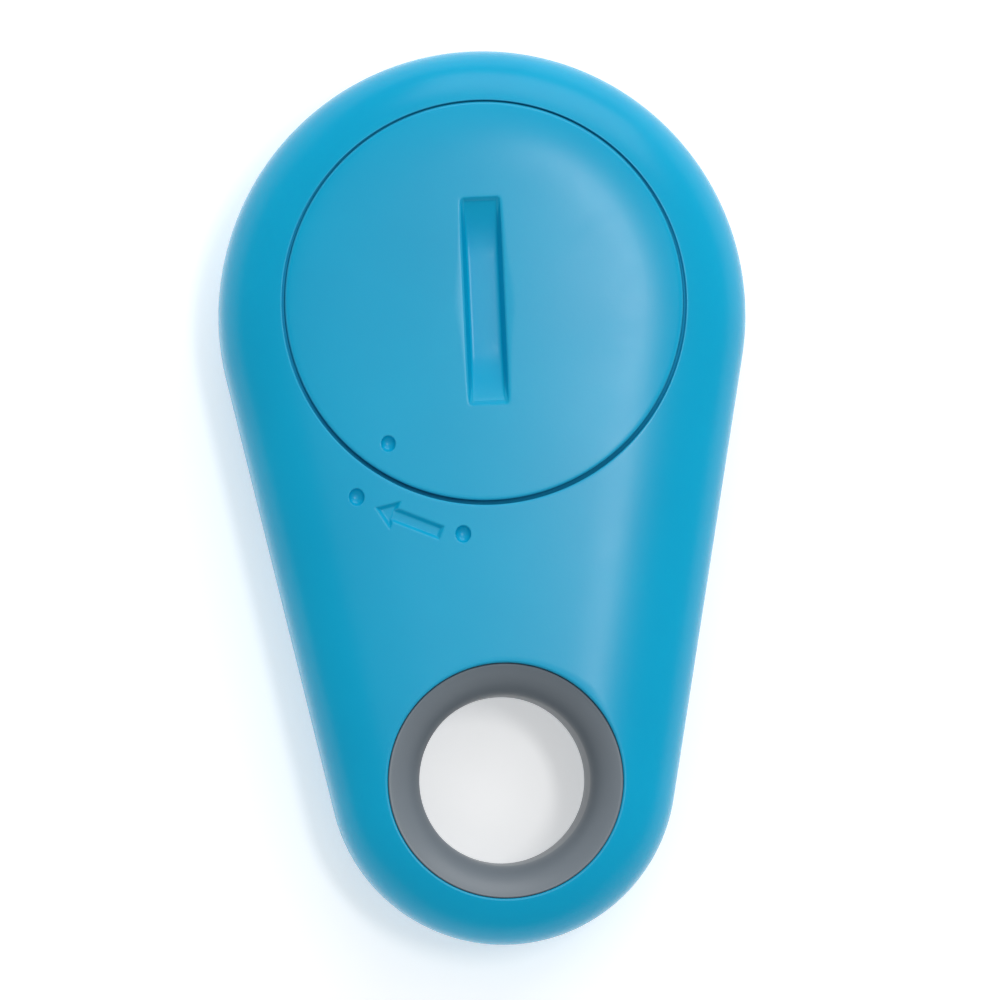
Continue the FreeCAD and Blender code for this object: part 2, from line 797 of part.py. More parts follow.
def make_chip():
    """Radio chip in a 16-lead small-outline package, with its gull-wing leads."""
    x, y = "0", "0 - chip_offset"
    bottom = "board_bottom - chip_stand - chip_height"
    package = body("bluetooth_chip")
    move(package, x, y, bottom)
    outline = draw(package, "XY_Plane", "chip_outline")
    rectangle(outline, "chip_length", "chip_width")
    pad(package, outline, "chip_height")
    pin_mark = draw(package, "XY_Plane", "chip_mark")
    circle(pin_mark, "pin_mark_radius", "1 - chip_length / 2", "1 - chip_width / 2")
    pocket(package, pin_mark, "pin_mark_depth", Reversed=True)
    subpart(package, "bluetooth_chip")
    lead = body("chip_lead")
    profile = draw(lead, "YZ_Plane", "lead_profile")
    shoulder, foot = "chip_height / 2", "chip_height + chip_stand"
    inner, knee, toe = "chip_width / 2", "chip_width / 2 + 0.35", "chip_span / 2"
    sheet = "lead_sheet"
    polygon(profile, [
        (inner, shoulder),
        (knee, shoulder),
        (f"{knee} + 0.1", f"{foot} - {sheet}"),
        (toe, f"{foot} - {sheet}"),
        (toe, foot),
        (f"{knee} - 0.1", foot),
        (f"{knee} - 0.2", f"{shoulder} + {sheet}"),
        (inner, f"{shoulder} + {sheet}"),
    ])
    first = pad(lead, profile, "lead_width", Midplane=True)
    rows = lead.newObject("PartDesign::LinearPattern", "lead_row")
    rows.Originals = [first]
    rows.Direction = (profile, ["N_Axis"])
    bind(rows, Length="7 * lead_pitch")
    rows.Occurrences = 8
    lead.Tip = rows
    move(lead, "0 - 3.5 * lead_pitch", y, bottom)
    far = doc.addObject("Part::Mirroring", "chip_lead_far_side")
    far.Source = lead
    far.Base = vector(0, value(y), 0)
    far.Normal = vector(0, 1, 0)
    far.setExpression("Base.y", formula(y))
    return group("chip_leads", [lead, far])


CHIPS = (
    # kind, x, y, turned a quarter
    ("chip_capacitor", -8.6, 0.6, True),
    ("chip_capacitor", -6.9, 0.6, True),
    ("chip_capacitor", -8.2, -3.4, False),
    ("chip_capacitor", 8.4, -3.2, False),
    ("chip_capacitor", 6.6, 17.6, True),
    ("chip_capacitor", 4.9, 19.0, False),
    ("chip_resistor", 6.8, 0.6, True),
    ("chip_resistor", 8.5, 0.6, True),
    ("chip_resistor", -4.4, 1.6, True),
    ("chip_resistor", 4.4, 1.6, True),
)


def make_chip_parts():
    """Small two-ended parts: bodies by kind, and their plated ends as one group."""
    kinds = {"chip_capacitor": [], "chip_resistor": []}
    ends = []
    for number, (kind, x, y, quarter) in enumerate(CHIPS, start=1):
        height = "capacitor_height" if kind == "chip_capacitor" else "resistor_height"
        bottom = f"board_bottom - {height}"
        run, across = ("passive_length - 2 * passive_end", "passive_width")
        size = (across, run) if quarter else (run, across)
        kinds[kind].append(block(f"{kind}_{number}", *size, height, str(x), str(y), bottom))
        for side in (-1, 1):
            shift = f"{side} * (passive_length - passive_end) / 2"
            place = (str(x), f"{y} + {shift}") if quarter else (f"{x} + {shift}", str(y))
            size = ("passive_width", "passive_end") if quarter else ("passive_end", "passive_width")
            name = f"end_{number}_{side + 2}"
            ends.append(block(name, *size, height, *place, bottom))
    for kind, pieces in kinds.items():
        group(f"{kind}s", pieces)
    group("chip_terminations", ends)


def rounded_block(label, length, width, height, corner, x, y):
    """A part on the board's front face, with rounded vertical corners."""
    piece = body(label)
    move(piece, x, y, f"board_bottom - {height}")
    outline = draw(piece, "XY_Plane", f"{label}_outline")
    rectangle(outline, length, width)
    raised = pad(piece, outline, height)
    reach = value(length) / 2, value(width) / 2
    corners = edges_of(raised, lambda p: abs(p.x) > reach[0] - 0.01 and abs(p.y) > reach[1] - 0.01)
    blend(piece, raised, corners, corner)
    return subpart(piece, label)


def make_crystal_and_inductor():
    size = ("crystal_length", "crystal_width", "crystal_height", "crystal_corner")
    rounded_block("crystal", *size, "0 - crystal_x", "crystal_y")
    size = ("inductor_size", "inductor_size", "inductor_height", "inductor_corner")
    rounded_block("boost_inductor", *size, "inductor_x", "inductor_y")


def make_status_lamp():
    """Light-emitting diode on the board's front face: a base and a clear moulded lens."""
    bottom = "board_bottom - led_base"
    base = block("status_led_base", "led_length", "led_width", "led_base", "0", "light_offset", bottom)
    subpart(base, "status_led_base")
    lens = body("status_led_lens")
    move(lens, "0", "light_offset", "lamp_tip")
    outline = draw(lens, "XY_Plane", "lens_outline")
    rectangle(outline, "lens_length", "led_width")
    raised = pad(lens, outline, f"{bottom} - lamp_tip")
    bind(raised, TaperAngle="lens_draft")
    return subpart(lens, "status_led_lens")


def make_switch():
    """Tactile switch under the button: moulded base, metal frame, plunger, dome and leads."""
    y = "door_offset"
    depth = "switch_tip + 0.5"
    face = f"{depth} + frame_sheet"
    base = body("switch_base")
    move(base, y=y)
    outline = draw(base, "XY_Plane", "switch_base_outline", face)
    rectangle(outline, "switch_size", "switch_size")
    pad(base, outline, f"board_bottom - ({face})")
    well = draw(base, "XY_Plane", "switch_well_outline", face)
    circle(well, "switch_well")
    pocket(base, well, f"board_bottom - switch_floor - ({face})", Reversed=True)
    subpart(base, "switch_base")
    across = "switch_size + 2 * frame_side"
    cover = block("switch_cover", across, across, "frame_skirt", "0", y, depth)
    inside = block("switch_inside", "switch_size", "switch_size", "2", "0", y, face)
    hole = disc("switch_cover_hole", "switch_plunger + plunger_gap", "1", "0", y, f"{depth} - 0.4")
    subpart(cut("switch_frame", cover, inside, hole), "switch_frame")
    turned("switch_plunger", [
        ("0", "switch_tip"),
        ("switch_plunger - 0.1", "switch_tip"),
        ("switch_plunger", "switch_tip + 0.1"),
        ("switch_plunger", f"{depth} + 0.25"),
        ("switch_plunger + 0.35", f"{depth} + 0.25"),
        ("switch_plunger + 0.35", f"{depth} + 0.4"),
        ("0", f"{depth} + 0.4"),
    ], y=y)
    apex, rim = f"{depth} + 0.42", "board_bottom - 0.36"
    turned("switch_dome", [
        ("0", apex),
        ("0.8", f"{apex} + 0.05"),
        ("1.65", f"{rim} - 0.08"),
        ("1.65", rim),
        ("1.5", rim),
        ("0.75", f"{apex} + 0.12"),
        ("0", f"{apex} + 0.07"),
    ], y=y)
    legs = []
    for number, (side, end) in enumerate(((-1, -1), (-1, 1), (1, -1), (1, 1)), start=1):
        x = f"{side} * (switch_size + leg_length) / 2"
        place = (x, f"{y} + {end} * leg_spread", "board_bottom - leg_sheet")
        legs.append(block(f"switch_leg_{number}", "leg_length", "leg_width", "leg_sheet", *place))
    return group("switch_terminals", legs)


def make_buzzer():
    """Electromagnetic sounder on the board's rear face, under the neck of the rear shell."""
    y, bottom = "0 - buzzer_offset", BOARD_TOP
    half = "buzzer_size / 2"
    floor = block("buzzer_base", "buzzer_size", "buzzer_size", "buzzer_floor", "0", y, bottom)
    subpart(floor, "buzzer_base")
    lift = f"{bottom} + buzzer_floor"
    height = "buzzer_height - buzzer_floor"
    shell = block("buzzer_block", "buzzer_size", "buzzer_size", height, "0", y, lift)
    roof = f"{height} - 0.2"
    chamber = disc("buzzer_chamber", f"{half} - buzzer_wall", roof, "0", y, f"{lift} - 0.1")
    size = ("buzzer_port_width", "4 * buzzer_wall", "buzzer_port_height")
    port = block("buzzer_port", *size, "0", f"{y} + {half} - 0.3", f"{lift} + 1")
    subpart(cut("buzzer_case", shell, chamber, port), "buzzer_case")
    turned("buzzer_magnet", [
        ("2.45", "0"),
        (f"{half} - 0.45", "0"),
        (f"{half} - 0.45", "0.8"),
        ("2.45", "0.8"),
    ], "0", y, lift)
    turned("buzzer_core", [
        ("0", "0"),
        ("2.4", "0"),
        ("2.4", "0.2"),
        ("0.7", "0.2"),
        ("0.7", "0.9"),
        ("0", "0.9"),
    ], "0", y, lift)
    winding = [("0.75", "0.22"), ("2.2", "0.22"), ("2.2", "0.8"), ("0.75", "0.8")]
    turned("buzzer_coil", winding, "0", y, lift)
    turned("buzzer_diaphragm", [
        ("0", "1.05"),
        (f"{half} - 0.45", "1.05"),
        (f"{half} - 0.45", "1.12"),
        ("1.2", "1.12"),
        ("1.2", "1.32"),
        ("0", "1.32"),
    ], "0", y, lift)
    pads = []
    for number, (side, end) in enumerate(((-1, -1), (-1, 1), (1, -1), (1, 1)), start=1):
        x = f"{side} * (buzzer_size + buzzer_pad_sheet) / 2"
        place = (x, f"{y} + {end} * ({half} - 1)", bottom)
        size = ("buzzer_pad_sheet", "buzzer_pad_width", "buzzer_pad_height")
        pads.append(block(f"buzzer_pad_{number}", *size, *place))
    return group("buzzer_terminals", pads)


def make_battery():
    """Coin cell, 20 mm across and 3.2 mm thick, with its positive can facing the door."""
    y, z = "door_offset", "cell_bottom"
    outer, top = "cell_diameter / 2", "cell_height"
    turned("battery_can", [
        (f"{outer} - 0.9", "0.25"),
        (f"{outer} - 0.75", "0.05"),
        (f"{outer} - 0.2", "0.15"),
        (outer, "0.45"),
        (outer, f"{top} - 0.25"),
        (f"{outer} - 0.25", top),
        ("0", top),
        ("0", f"{top} - 0.25"),
        (f"{outer} - 0.35", f"{top} - 0.25"),
        (f"{outer} - 0.25", f"{top} - 0.35"),
        (f"{outer} - 0.25", "0.5"),
        (f"{outer} - 0.35", "0.35"),
    ], "0", y, z)
    turned("battery_gasket", [
        (f"{outer} - 0.95", "0.27"),
        (f"{outer} - 0.37", "0.37"),
        (f"{outer} - 0.27", "0.52"),
        (f"{outer} - 0.27", "2.2"),
        (f"{outer} - 0.55", "2.2"),
        (f"{outer} - 0.55", "0.62"),
        (f"{outer} - 0.95", "0.52"),
    ], "0", y, z)
    turned("battery_cap", [
        ("0", "0"),
        (f"{outer} - 1.4", "0"),
        (f"{outer} - 1.15", "0.55"),
        (f"{outer} - 0.57", "0.65"),
        (f"{outer} - 0.57", "2.1"),
        (f"{outer} - 0.8", "2.1"),
        (f"{outer} - 0.8", "0.85"),
        (f"{outer} - 1.4", "0.8"),
        (f"{outer} - 1.6", "0.2"),
        ("0", "0.2"),
    ], "0", y, z)
    layers = (
        ("battery_anode", f"{outer} - 1.65", "0.25", "1"),
        ("battery_separator", f"{outer} - 0.85", "1.27", "0.12"),
        ("battery_cathode", f"{outer} - 0.9", "1.41", "1.5"),
    )
    for name, radius, bottom, height in layers:
        subpart(disc(name, radius, height, "0", y, f"{z} + {bottom}"), name)


def make_contacts():
    """Positive leaf beside the cell and negative leaf under it."""
    leaf = body("positive_contact")
    move(leaf, "0", "door_offset", BOARD_TOP)
    profile = draw(leaf, "XZ_Plane", "positive_profile")
    gap = "0 - cell_diameter / 2 - 0.05"
    polygon(profile, [
        (f"{gap} - 1.4", "0"),
        (f"{gap} - 0.1", "0"),
        (f"{gap} - 0.1", "1.5"),
        (gap, "2"),
        (f"{gap} - 0.15", "2.6"),
        (f"{gap} - 0.3", "2.6"),
        (f"{gap} - 0.2", "2"),
        (f"{gap} - 0.3", "1.5"),
        (f"{gap} - 0.3", "0.2"),
        (f"{gap} - 1.4", "0.2"),
    ])
    pad(leaf, profile, "positive_width", Midplane=True)
    subpart(leaf, "positive_contact")
    spring = body("negative_contact")
    move(spring, "0", "door_offset", BOARD_TOP)
    profile = draw(spring, "XZ_Plane", "negative_profile")
    rise = f"cell_bottom - ({BOARD_TOP})"
    polygon(profile, [
        ("0 - 4.5", "0"),
        ("0 - 2.4", "0"),
        ("0 - 0.5", f"{rise} - 0.17"),
        ("0.5", f"{rise} - 0.17"),
        ("2.4", "0"),
        ("4.5", "0"),
        ("4.5", "0.15"),
        ("2.45", "0.15"),
        ("0.55", f"{rise} - 0.02"),
        ("0 - 0.55", f"{rise} - 0.02"),
        ("0 - 2.45", "0.15"),
        ("0 - 4.5", "0.15"),
    ])
    pad(spring, profile, "negative_width", Midplane=True)
    return subpart(spring, "negative_contact")


# ---- build and write ----------------------------------------------------------------------------


def build():
    form = make_outer_form()
    hollow = make_cavity()
    make_rear_shell(form, hollow)
    make_front_shell(form, hollow)
    make_battery_door(form)
    make_eyelet()
    make_push_button()
    make_light_pipe()
    make_circuit_board()
    make_antenna()
    make_chip()
    make_chip_parts()
    make_crystal_and_inductor()
    make_status_lamp()
    make_switch()
    make_buzzer()
    make_battery()
    make_contacts()
    doc.recompute()


def check():
    """Stop when any object failed to rebuild or any piece is not a sound solid."""
    failed = [item.Name for item in doc.Objects if {"Invalid", "Error"} & set(item.State)]
    for item in subparts:
        shape = item.Shape
        if shape.isNull() or not shape.isValid() or not shape.Solids:
            failed.append(item.Label)
    if failed:
        raise RuntimeError(f"these did not build: {', '.join(failed)}")


def write():
    os.makedirs("parts", exist_ok=True)
    for item in subparts:
        item.Shape.exportStep(f"parts/{item.Label}.step")
        print(f"{item.Label}: {len(item.Shape.Solids)} solid(s), {item.Shape.Volume:.2f} mm3")


build()
check()
write()
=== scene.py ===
"""Looks of the teardrop tracker tag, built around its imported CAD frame.

Shapes are worked out in millimetres, in the frame's axes, and become metres in build_mesh().
"""

import math

import bmesh
import bpy
import numpy as np
from mathutils import Matrix, Vector


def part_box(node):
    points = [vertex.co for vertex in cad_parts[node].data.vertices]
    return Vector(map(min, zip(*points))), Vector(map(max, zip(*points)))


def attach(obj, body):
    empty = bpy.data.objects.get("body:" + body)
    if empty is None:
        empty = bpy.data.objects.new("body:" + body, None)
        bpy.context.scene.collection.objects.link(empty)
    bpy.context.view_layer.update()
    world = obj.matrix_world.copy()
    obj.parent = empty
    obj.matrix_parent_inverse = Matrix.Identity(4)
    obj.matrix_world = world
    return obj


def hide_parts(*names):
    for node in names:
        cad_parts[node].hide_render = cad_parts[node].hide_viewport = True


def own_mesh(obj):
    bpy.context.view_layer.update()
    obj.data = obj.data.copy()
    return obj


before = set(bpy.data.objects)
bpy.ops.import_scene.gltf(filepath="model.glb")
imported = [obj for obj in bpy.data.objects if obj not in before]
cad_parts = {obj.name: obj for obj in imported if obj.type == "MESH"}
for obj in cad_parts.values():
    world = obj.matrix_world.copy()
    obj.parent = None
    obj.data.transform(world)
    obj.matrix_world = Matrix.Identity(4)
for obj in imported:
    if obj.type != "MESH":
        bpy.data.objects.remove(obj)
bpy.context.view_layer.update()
MM = 0.001


def box_mm(node):
    """A CAD node's lowest and highest corners at rest, in millimetres."""
    low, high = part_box(node)
    return np.array(low) / MM, np.array(high) / MM


# ---- sizes read from the frame, then the few that it doesn't give --------------------------------

rear_high = box_mm("rear_shell")[1]
door_low, door_high = box_mm("battery_door")
ring_low, ring_high = box_mm("eyelet_ring")
button_low, button_high = box_mm("push_button")

THICKNESS = rear_high[2]
HALF_LENGTH = rear_high[1]
HEAD_RADIUS = rear_high[0]
TAIL_RADIUS = 10.05
HEAD_Y = HALF_LENGTH - HEAD_RADIUS
TAIL_Y = TAIL_RADIUS - HALF_LENGTH
SPREAD = HEAD_Y - TAIL_Y
TAPER = (HEAD_RADIUS - TAIL_RADIUS) / SPREAD
SPLIT = 5.5
GROOVE = 0.12
# The rear face is crowned across the tag. Each face's edge falls this far over this reach.
CROWN_RADIUS = 150.0
REAR_FALL, REAR_REACH = 4.5, 8.0
FRONT_FALL, FRONT_REACH = 4.0, 6.5

DOOR_Y = (door_low[1] + door_high[1]) / 2
DOOR_RADIUS = (door_high[0] - door_low[0]) / 2
APERTURE = DOOR_RADIUS + 0.17
RING_Y = (ring_low[1] + ring_high[1]) / 2
RING_RADIUS = (ring_high[0] - ring_low[0]) / 2
RING_HOLE = RING_RADIUS + 0.015
RING_TOP = ring_high[2]
BORE = 4.85
BELL_RADIUS = 2.6
LAND_DRAFT = 0.1
BUTTON_HOLE = 6.2

# The marks' angles about the door's axis, and their distances from it.
DOOR_DOT_ANGLE = math.radians(36.5)
LOCK_ANGLE = math.radians(35.6)
UNLOCK_ANGLE = math.radians(7.8)
ARROW_ANGLE = math.radians(21.6)
ARROW_TURN = math.radians(23.6)
SHELL_DOT_OFFSET = 13.55
DOOR_DOT_OFFSET = 9.97
ARROW_OFFSET = 13.44


# ---- the outer form as formulas ------------------------------------------------------------------


def depth_inside(x, y):
    """Distance from a point to the teardrop outline, positive inside."""
    x = np.abs(x)
    y = y - TAIL_Y
    cosine = math.sqrt(1 - TAPER**2)
    along = TAPER * x + cosine * y
    to_tail = np.hypot(x, y) - TAIL_RADIUS
    to_head = np.hypot(x, y - SPREAD) - HEAD_RADIUS
    to_side = cosine * x - TAPER * y - TAIL_RADIUS
    distance = np.where(along < 0, to_tail, np.where(along > cosine * SPREAD, to_head, to_side))
    return -distance


def outward(x, y):
    """Unit normal of the outline nearest to a point."""
    step = 1e-4
    slope_x = depth_inside(x - step, y) - depth_inside(x + step, y)
    slope_y = depth_inside(x, y - step) - depth_inside(x, y + step)
    size = np.hypot(slope_x, slope_y)
    return slope_x / size, slope_y / size


def soft_drop(depth, reach, fall):
    """Fall of an edge that starts gently, reach in from the outline, and ends upright at it."""
    power = 3.0
    share = np.clip(1 - depth / reach, 0, 1)
    return fall * (1 - np.clip(1 - share**power, 0, 1) ** (1 / power))


def round_drop(depth, radius):
    """How far a rounded edge has fallen at one distance in from the outline."""
    reach = np.clip(radius - depth, 0, radius)
    return radius - np.sqrt(radius**2 - reach**2)


def rear_height(x, y):
    """Height of the rear face: a shallow crown across the tag that rounds down to the outline."""
    crown = THICKNESS - CROWN_RADIUS + np.sqrt(CROWN_RADIUS**2 - x**2)
    return crown - soft_drop(depth_inside(x, y), REAR_REACH, REAR_FALL)


def front_height(x, y):
    """Height of the front face, which is flat and rounds up to the outline."""
    return soft_drop(depth_inside(x, y), FRONT_REACH, FRONT_FALL)


def smooth_step(value, low, high):
    """0 below low, 1 above high, and an even curve between."""
    share = np.clip((value - low) / (high - low), 0, 1)
    return share * share * (3 - 2 * share)


def around_door(offset, angle):
    """A place at one distance from the door's axis, turned clockwise from the narrow end."""
    return -offset * math.sin(angle), DOOR_Y - offset * math.cos(angle)


def dimple(x, y, place, radius=0.46):
    """Depth of a moulded dot: a bowl with a softened lip, a little taller than wide."""
    depth, tallness = 0.36, 1.12
    reach = np.hypot(x - place[0], (y - place[1]) / tallness) / radius
    bowl = np.sqrt(np.clip(1 - np.clip(reach, 0, 1) ** 2, 0, 1))
    return depth * bowl * smooth_step(1.08 - reach, 0, 0.25)


def arrow(x, y):
    """Depth of the debossed lock arrow, which points clockwise about the door."""
    middle_x, middle_y = around_door(ARROW_OFFSET, ARROW_ANGLE)
    along_x, along_y = -math.cos(ARROW_TURN), math.sin(ARROW_TURN)
    u = (x - middle_x) * along_x + (y - middle_y) * along_y
    v = np.abs((y - middle_y) * along_x - (x - middle_x) * along_y)
    length, barb, tip = 1.1, 0.78, 1.97
    tail, shoulder, half_width = -2.0, 1.1, 0.37
    depth = 0.2
    shaft = np.maximum(np.maximum(tail - u, u - shoulder), v - half_width)
    head = np.maximum(tip - length - u, ((u - tip) * barb + v * length) / math.hypot(length, barb))
    return depth * smooth_step(-np.minimum(shaft, head), -0.10, 0.17)


def shell_marks(x, y):
    """Depth of the marks beside the door: the lock dot, the unlock dot and the arrow between them."""
    locked = dimple(x, y, around_door(SHELL_DOT_OFFSET, LOCK_ANGLE))
    unlocked = dimple(x, y, around_door(SHELL_DOT_OFFSET, UNLOCK_ANGLE))
    return locked + unlocked + arrow(x, y)


# ---- meshes --------------------------------------------------------------------------------------


# Bends are in degrees between two neighbouring faces.
SOFT_BEND = 9
ROUND_BEND = 15
SHARP_BEND = 60


def mark_wear(mesh):
    """Give each vertex a "worn" value: 1 on the tightly rounded rims, and 0.6 on the sharp ones."""
    layer = mesh.verts.layers.float.new("worn")
    for vertex in mesh.verts:
        bends = [edge.calc_face_angle_signed(0.0) for edge in vertex.link_edges if len(edge.link_faces) == 2]
        bend = math.degrees(max(bends, default=0.0))
        share = (bend - SOFT_BEND) / (ROUND_BEND - SOFT_BEND)
        vertex[layer] = min(max(share, 0), 1) if bend < SHARP_BEND else 0.6


def mark_gap_shade(mesh):
    """Give each vertex a value that is 1 down in the gap round the door: the mask of the painted shade that
    darkens the gap.
    """
    layer = mesh.verts.layers.float.new("gap_shade")
    reach, start, full = 0.3, 0.04, 0.14
    for vertex in mesh.verts:
        x, y, z = vertex.co / MM
        if z > SPLIT and abs(math.hypot(x, y - DOOR_Y) - DOOR_RADIUS) < reach:
            depth = rear_height(x, y) - z
            vertex[layer] = min(max((depth - start) / (full - start), 0), 1)


def build_mesh(name, grids, caps=()):
    """One closed mesh from grids of points (rows, columns, 3) in millimetres, welded along their borders.

    Each grid is (points, wrap): wrap joins its last column to its first. caps are loops to fill flat.
    """
    mesh = bmesh.new()
    for points, wrap in grids:
        rows, columns = points.shape[:2]
        dots = [[mesh.verts.new(Vector(p) * MM) for p in row] for row in points.tolist()]
        for i in range(rows - 1):
            for j in range(columns if wrap else columns - 1):
                k = (j + 1) % columns
                mesh.faces.new((dots[i][j], dots[i][k], dots[i + 1][k], dots[i + 1][j]))
    for loop in caps:
        mesh.faces.new([mesh.verts.new(Vector(p) * MM) for p in loop.tolist()])
    bmesh.ops.remove_doubles(mesh, verts=mesh.verts, dist=2e-7)
    bmesh.ops.dissolve_degenerate(mesh, edges=mesh.edges, dist=1e-7)
    bmesh.ops.recalc_face_normals(mesh, faces=mesh.faces)
    mark_wear(mesh)
    mark_gap_shade(mesh)
    data = bpy.data.meshes.new(name)
    mesh.to_mesh(data)
    mesh.free()
    piece = bpy.data.objects.new(name, data)
    bpy.context.scene.collection.objects.link(piece)
    smooth(piece)
    return piece


def smooth(piece):
    """Shade a piece smoothly, apart from edges that bend by more than 35 degrees."""
    piece.data.shade_smooth()
    piece.data.set_sharp_from_angle(angle=math.radians(35))


def lathe(points, centre=(0, 0), segments=180):
    """A turned surface as a grid: points are (radius, height) pairs."""
    turn = np.linspace(0, 2 * math.pi, segments, endpoint=False)
    profile = np.array(points, float)
    grid = np.empty((len(profile), segments, 3))
    grid[:, :, 0] = centre[0] + profile[:, :1] * np.cos(turn)
    grid[:, :, 1] = centre[1] + profile[:, :1] * np.sin(turn)
    grid[:, :, 2] = profile[:, 1:]
    return grid, True


def arc(centre, radius, start, end, steps):
    """Points on an arc in the (radius, height) plane, angles in degrees."""
    angles = np.radians(np.linspace(start, end, steps))
    return [(centre[0] + radius * math.cos(a), centre[1] + radius * math.sin(a)) for a in angles]


def cross(inside, centre_y, angles):
    """How far each ray from (0, centre_y) runs inside a convex shape; inside is a test on x and y."""
    low = np.zeros_like(angles)
    high = np.full_like(angles, 4 * HALF_LENGTH)
    for _ in range(50):
        middle = (low + high) / 2
        within = inside(middle * np.cos(angles), centre_y + middle * np.sin(angles))
        low = np.where(within, middle, low)
        high = np.where(within, high, middle)
    return (low + high) / 2


def cross_outline(centre_y, angles, inset):
    """How far each ray from (0, centre_y) runs before it is inset from the outline."""
    return cross(lambda x, y: depth_inside(x, y) > inset, centre_y, angles)


# The outer face's grids stop this far in from the outline, where the edge band takes over.
BAND = 2.0
NECK_RAYS, HEAD_RAYS, TAIL_RAYS = 90, 230, 150


def plan_rays(hole_y, neck_y, extra_angles):
    """Border points that the two holes' rays share with each other and with the edge band.

    neck runs from right to left across the tag, head from its left end clockwise to its right end,
    and tail from its left end anticlockwise to its right end.
    """
    corner_x = neck_corner(neck_y)
    right = math.atan2(neck_y - hole_y, corner_x)
    left = -math.pi - right
    neck_angles = merge_angles(right, left, NECK_RAYS, extra_angles)
    neck_x = (neck_y - hole_y) / np.tan(neck_angles)
    neck = np.stack([neck_x, np.full_like(neck_x, neck_y)], axis=1)
    head_angles = merge_angles(left, right - 2 * math.pi, HEAD_RAYS, extra_angles)
    reach = cross_outline(hole_y, head_angles, BAND)
    head = np.stack([reach * np.cos(head_angles), hole_y + reach * np.sin(head_angles)], axis=1)
    tail_first = math.atan2(neck_y - RING_Y, -corner_x)
    tail_last = 2 * math.pi + math.atan2(neck_y - RING_Y, corner_x)
    tail_angles = np.linspace(tail_first, tail_last, TAIL_RAYS)
    reach = cross_outline(RING_Y, tail_angles, BAND)
    tail = np.stack([reach * np.cos(tail_angles), RING_Y + reach * np.sin(tail_angles)], axis=1)
    head[0], head[-1] = neck[-1], neck[0]
    tail[0], tail[-1] = neck[-1], neck[0]
    return neck, head, tail


def merge_angles(high, low, count, extra):
    """Evenly spread angles from high down to low, with the extra ones that lie between them."""
    between = extra[(extra > low + 1e-3) & (extra < high - 1e-3)]
    even = np.linspace(low, high, count)
    if len(between):
        clear = (even < between.min() - 1e-3) | (even > between.max() + 1e-3)
        even = even[clear]
    return np.sort(np.concatenate([even, between]))[::-1]


def neck_corner(neck_y):
    """Where the neck line meets the inner border of the edge band."""
    low, high = 0.0, HEAD_RADIUS
    for _ in range(60):
        middle = (low + high) / 2
        if depth_inside(middle, neck_y) > BAND:
            low = middle
        else:
            high = middle
    return low


def spread_rows(border, centre_y, radius, shares):
    """Rows of points from a circle about (0, centre_y) out to the border."""
    dx = border[:, 0]
    dy = border[:, 1] - centre_y
    reach = np.hypot(dx, dy)
    rows = radius + shares[:, None] * (reach - radius)[None, :]
    return np.stack([rows * dx / reach, centre_y + rows * dy / reach], axis=2)


def lift(plan, height):
    """Give a grid of (x, y) its z: a number, or a function of x and y."""
    z = height(plan[..., 0], plan[..., 1]) if callable(height) else np.full(plan.shape[:2], float(height))
    return np.concatenate([plan, z[..., None]], axis=2)


def ring_rows(border, centre_y, profile):
    """Rows on the vertical planes of the border's rays, from (radius, z) pairs.

    z may be a function of x and y, and radius one of the ray's slope in y.
    """
    dx = border[:, 0]
    dy = border[:, 1] - centre_y
    reach = np.hypot(dx, dy)
    rows = []
    for radius, height in profile:
        out = radius(dy / reach) if callable(radius) else radius
        plan = np.stack([out * dx / reach, centre_y + out * dy / reach], axis=1)[None]
        rows.append(lift(plan, height))
    return np.concatenate(rows)


def rim_profile(radius, surface, rounding, sign):
    """A rounded rim from a hole's wall up to a surface: sign is +1 on the rear face, -1 on the front."""
    rows = []
    for share in np.linspace(0, 1, 6):
        turn = share * math.pi / 2
        out = radius + rounding * (1 - math.cos(turn))
        drop = rounding * (1 - math.sin(turn))
        rows.append((out, lambda x, y, drop=drop: surface(x, y) - sign * drop))
    return rows


def make_shell(name, surface, sign, hole, neck_y, dense, rows_out, inside):
    """One half of the housing: outer face, edge band, lap joint, inner face and both holes.

    hole is the head hole's (centre y, radius, rim rounding). inside holds the inner profile: the
    (radius, z) steps of each hole's wall from the inner face out, the inner face's z function, and
    the (inset, z) steps of the side wall from the outline in.
    """
    head_steps, ring_steps, roof, wall = inside
    neck, head, tail = plan_rays(hole[0], neck_y, dense)
    head_border = np.concatenate([neck[:-1], head[:-1]])
    tail_border = np.concatenate([neck[:-1], tail[:-1]])
    ring = (RING_Y, RING_HOLE, RING_RIM)
    grids = []
    for border, (centre_y, radius, rounding), shares, steps in (
        (head_border, hole, rows_out, head_steps),
        (tail_border, ring, np.linspace(0, 1, 16), ring_steps),
    ):
        rim = rim_profile(radius, surface, rounding, sign)
        outer = spread_rows(border, centre_y, radius + rounding, shares)
        inner = spread_rows(border, centre_y, steps[0][0], np.linspace(0, 1, 8))
        grids.append((lift(outer, surface), True))
        grids.append((ring_rows(border, centre_y, steps + rim), True))
        grids.append((lift(inner, roof), True))
    loop = np.concatenate([head[:-1], tail[::-1][:-1]])
    grids.append((edge_band(loop, surface, wall), True))
    return build_mesh(name, grids)


def edge_band(loop, surface, wall):
    """Strip from the outer face's border, round the edge, over the lap joint and back to the inner face."""
    normal_x, normal_y = outward(loop[:, 0], loop[:, 1])
    rows = []
    crowding = 2.5
    for share in np.linspace(1, 0, 32):
        inset = BAND * share**crowding
        plan = step_out(loop, normal_x, normal_y, BAND - inset)
        rows.append(lift(plan[None], surface))
    for inset, z in wall:
        plan = step_out(loop, normal_x, normal_y, BAND - inset)
        rows.append(lift(plan[None], z))
    return np.concatenate(rows)


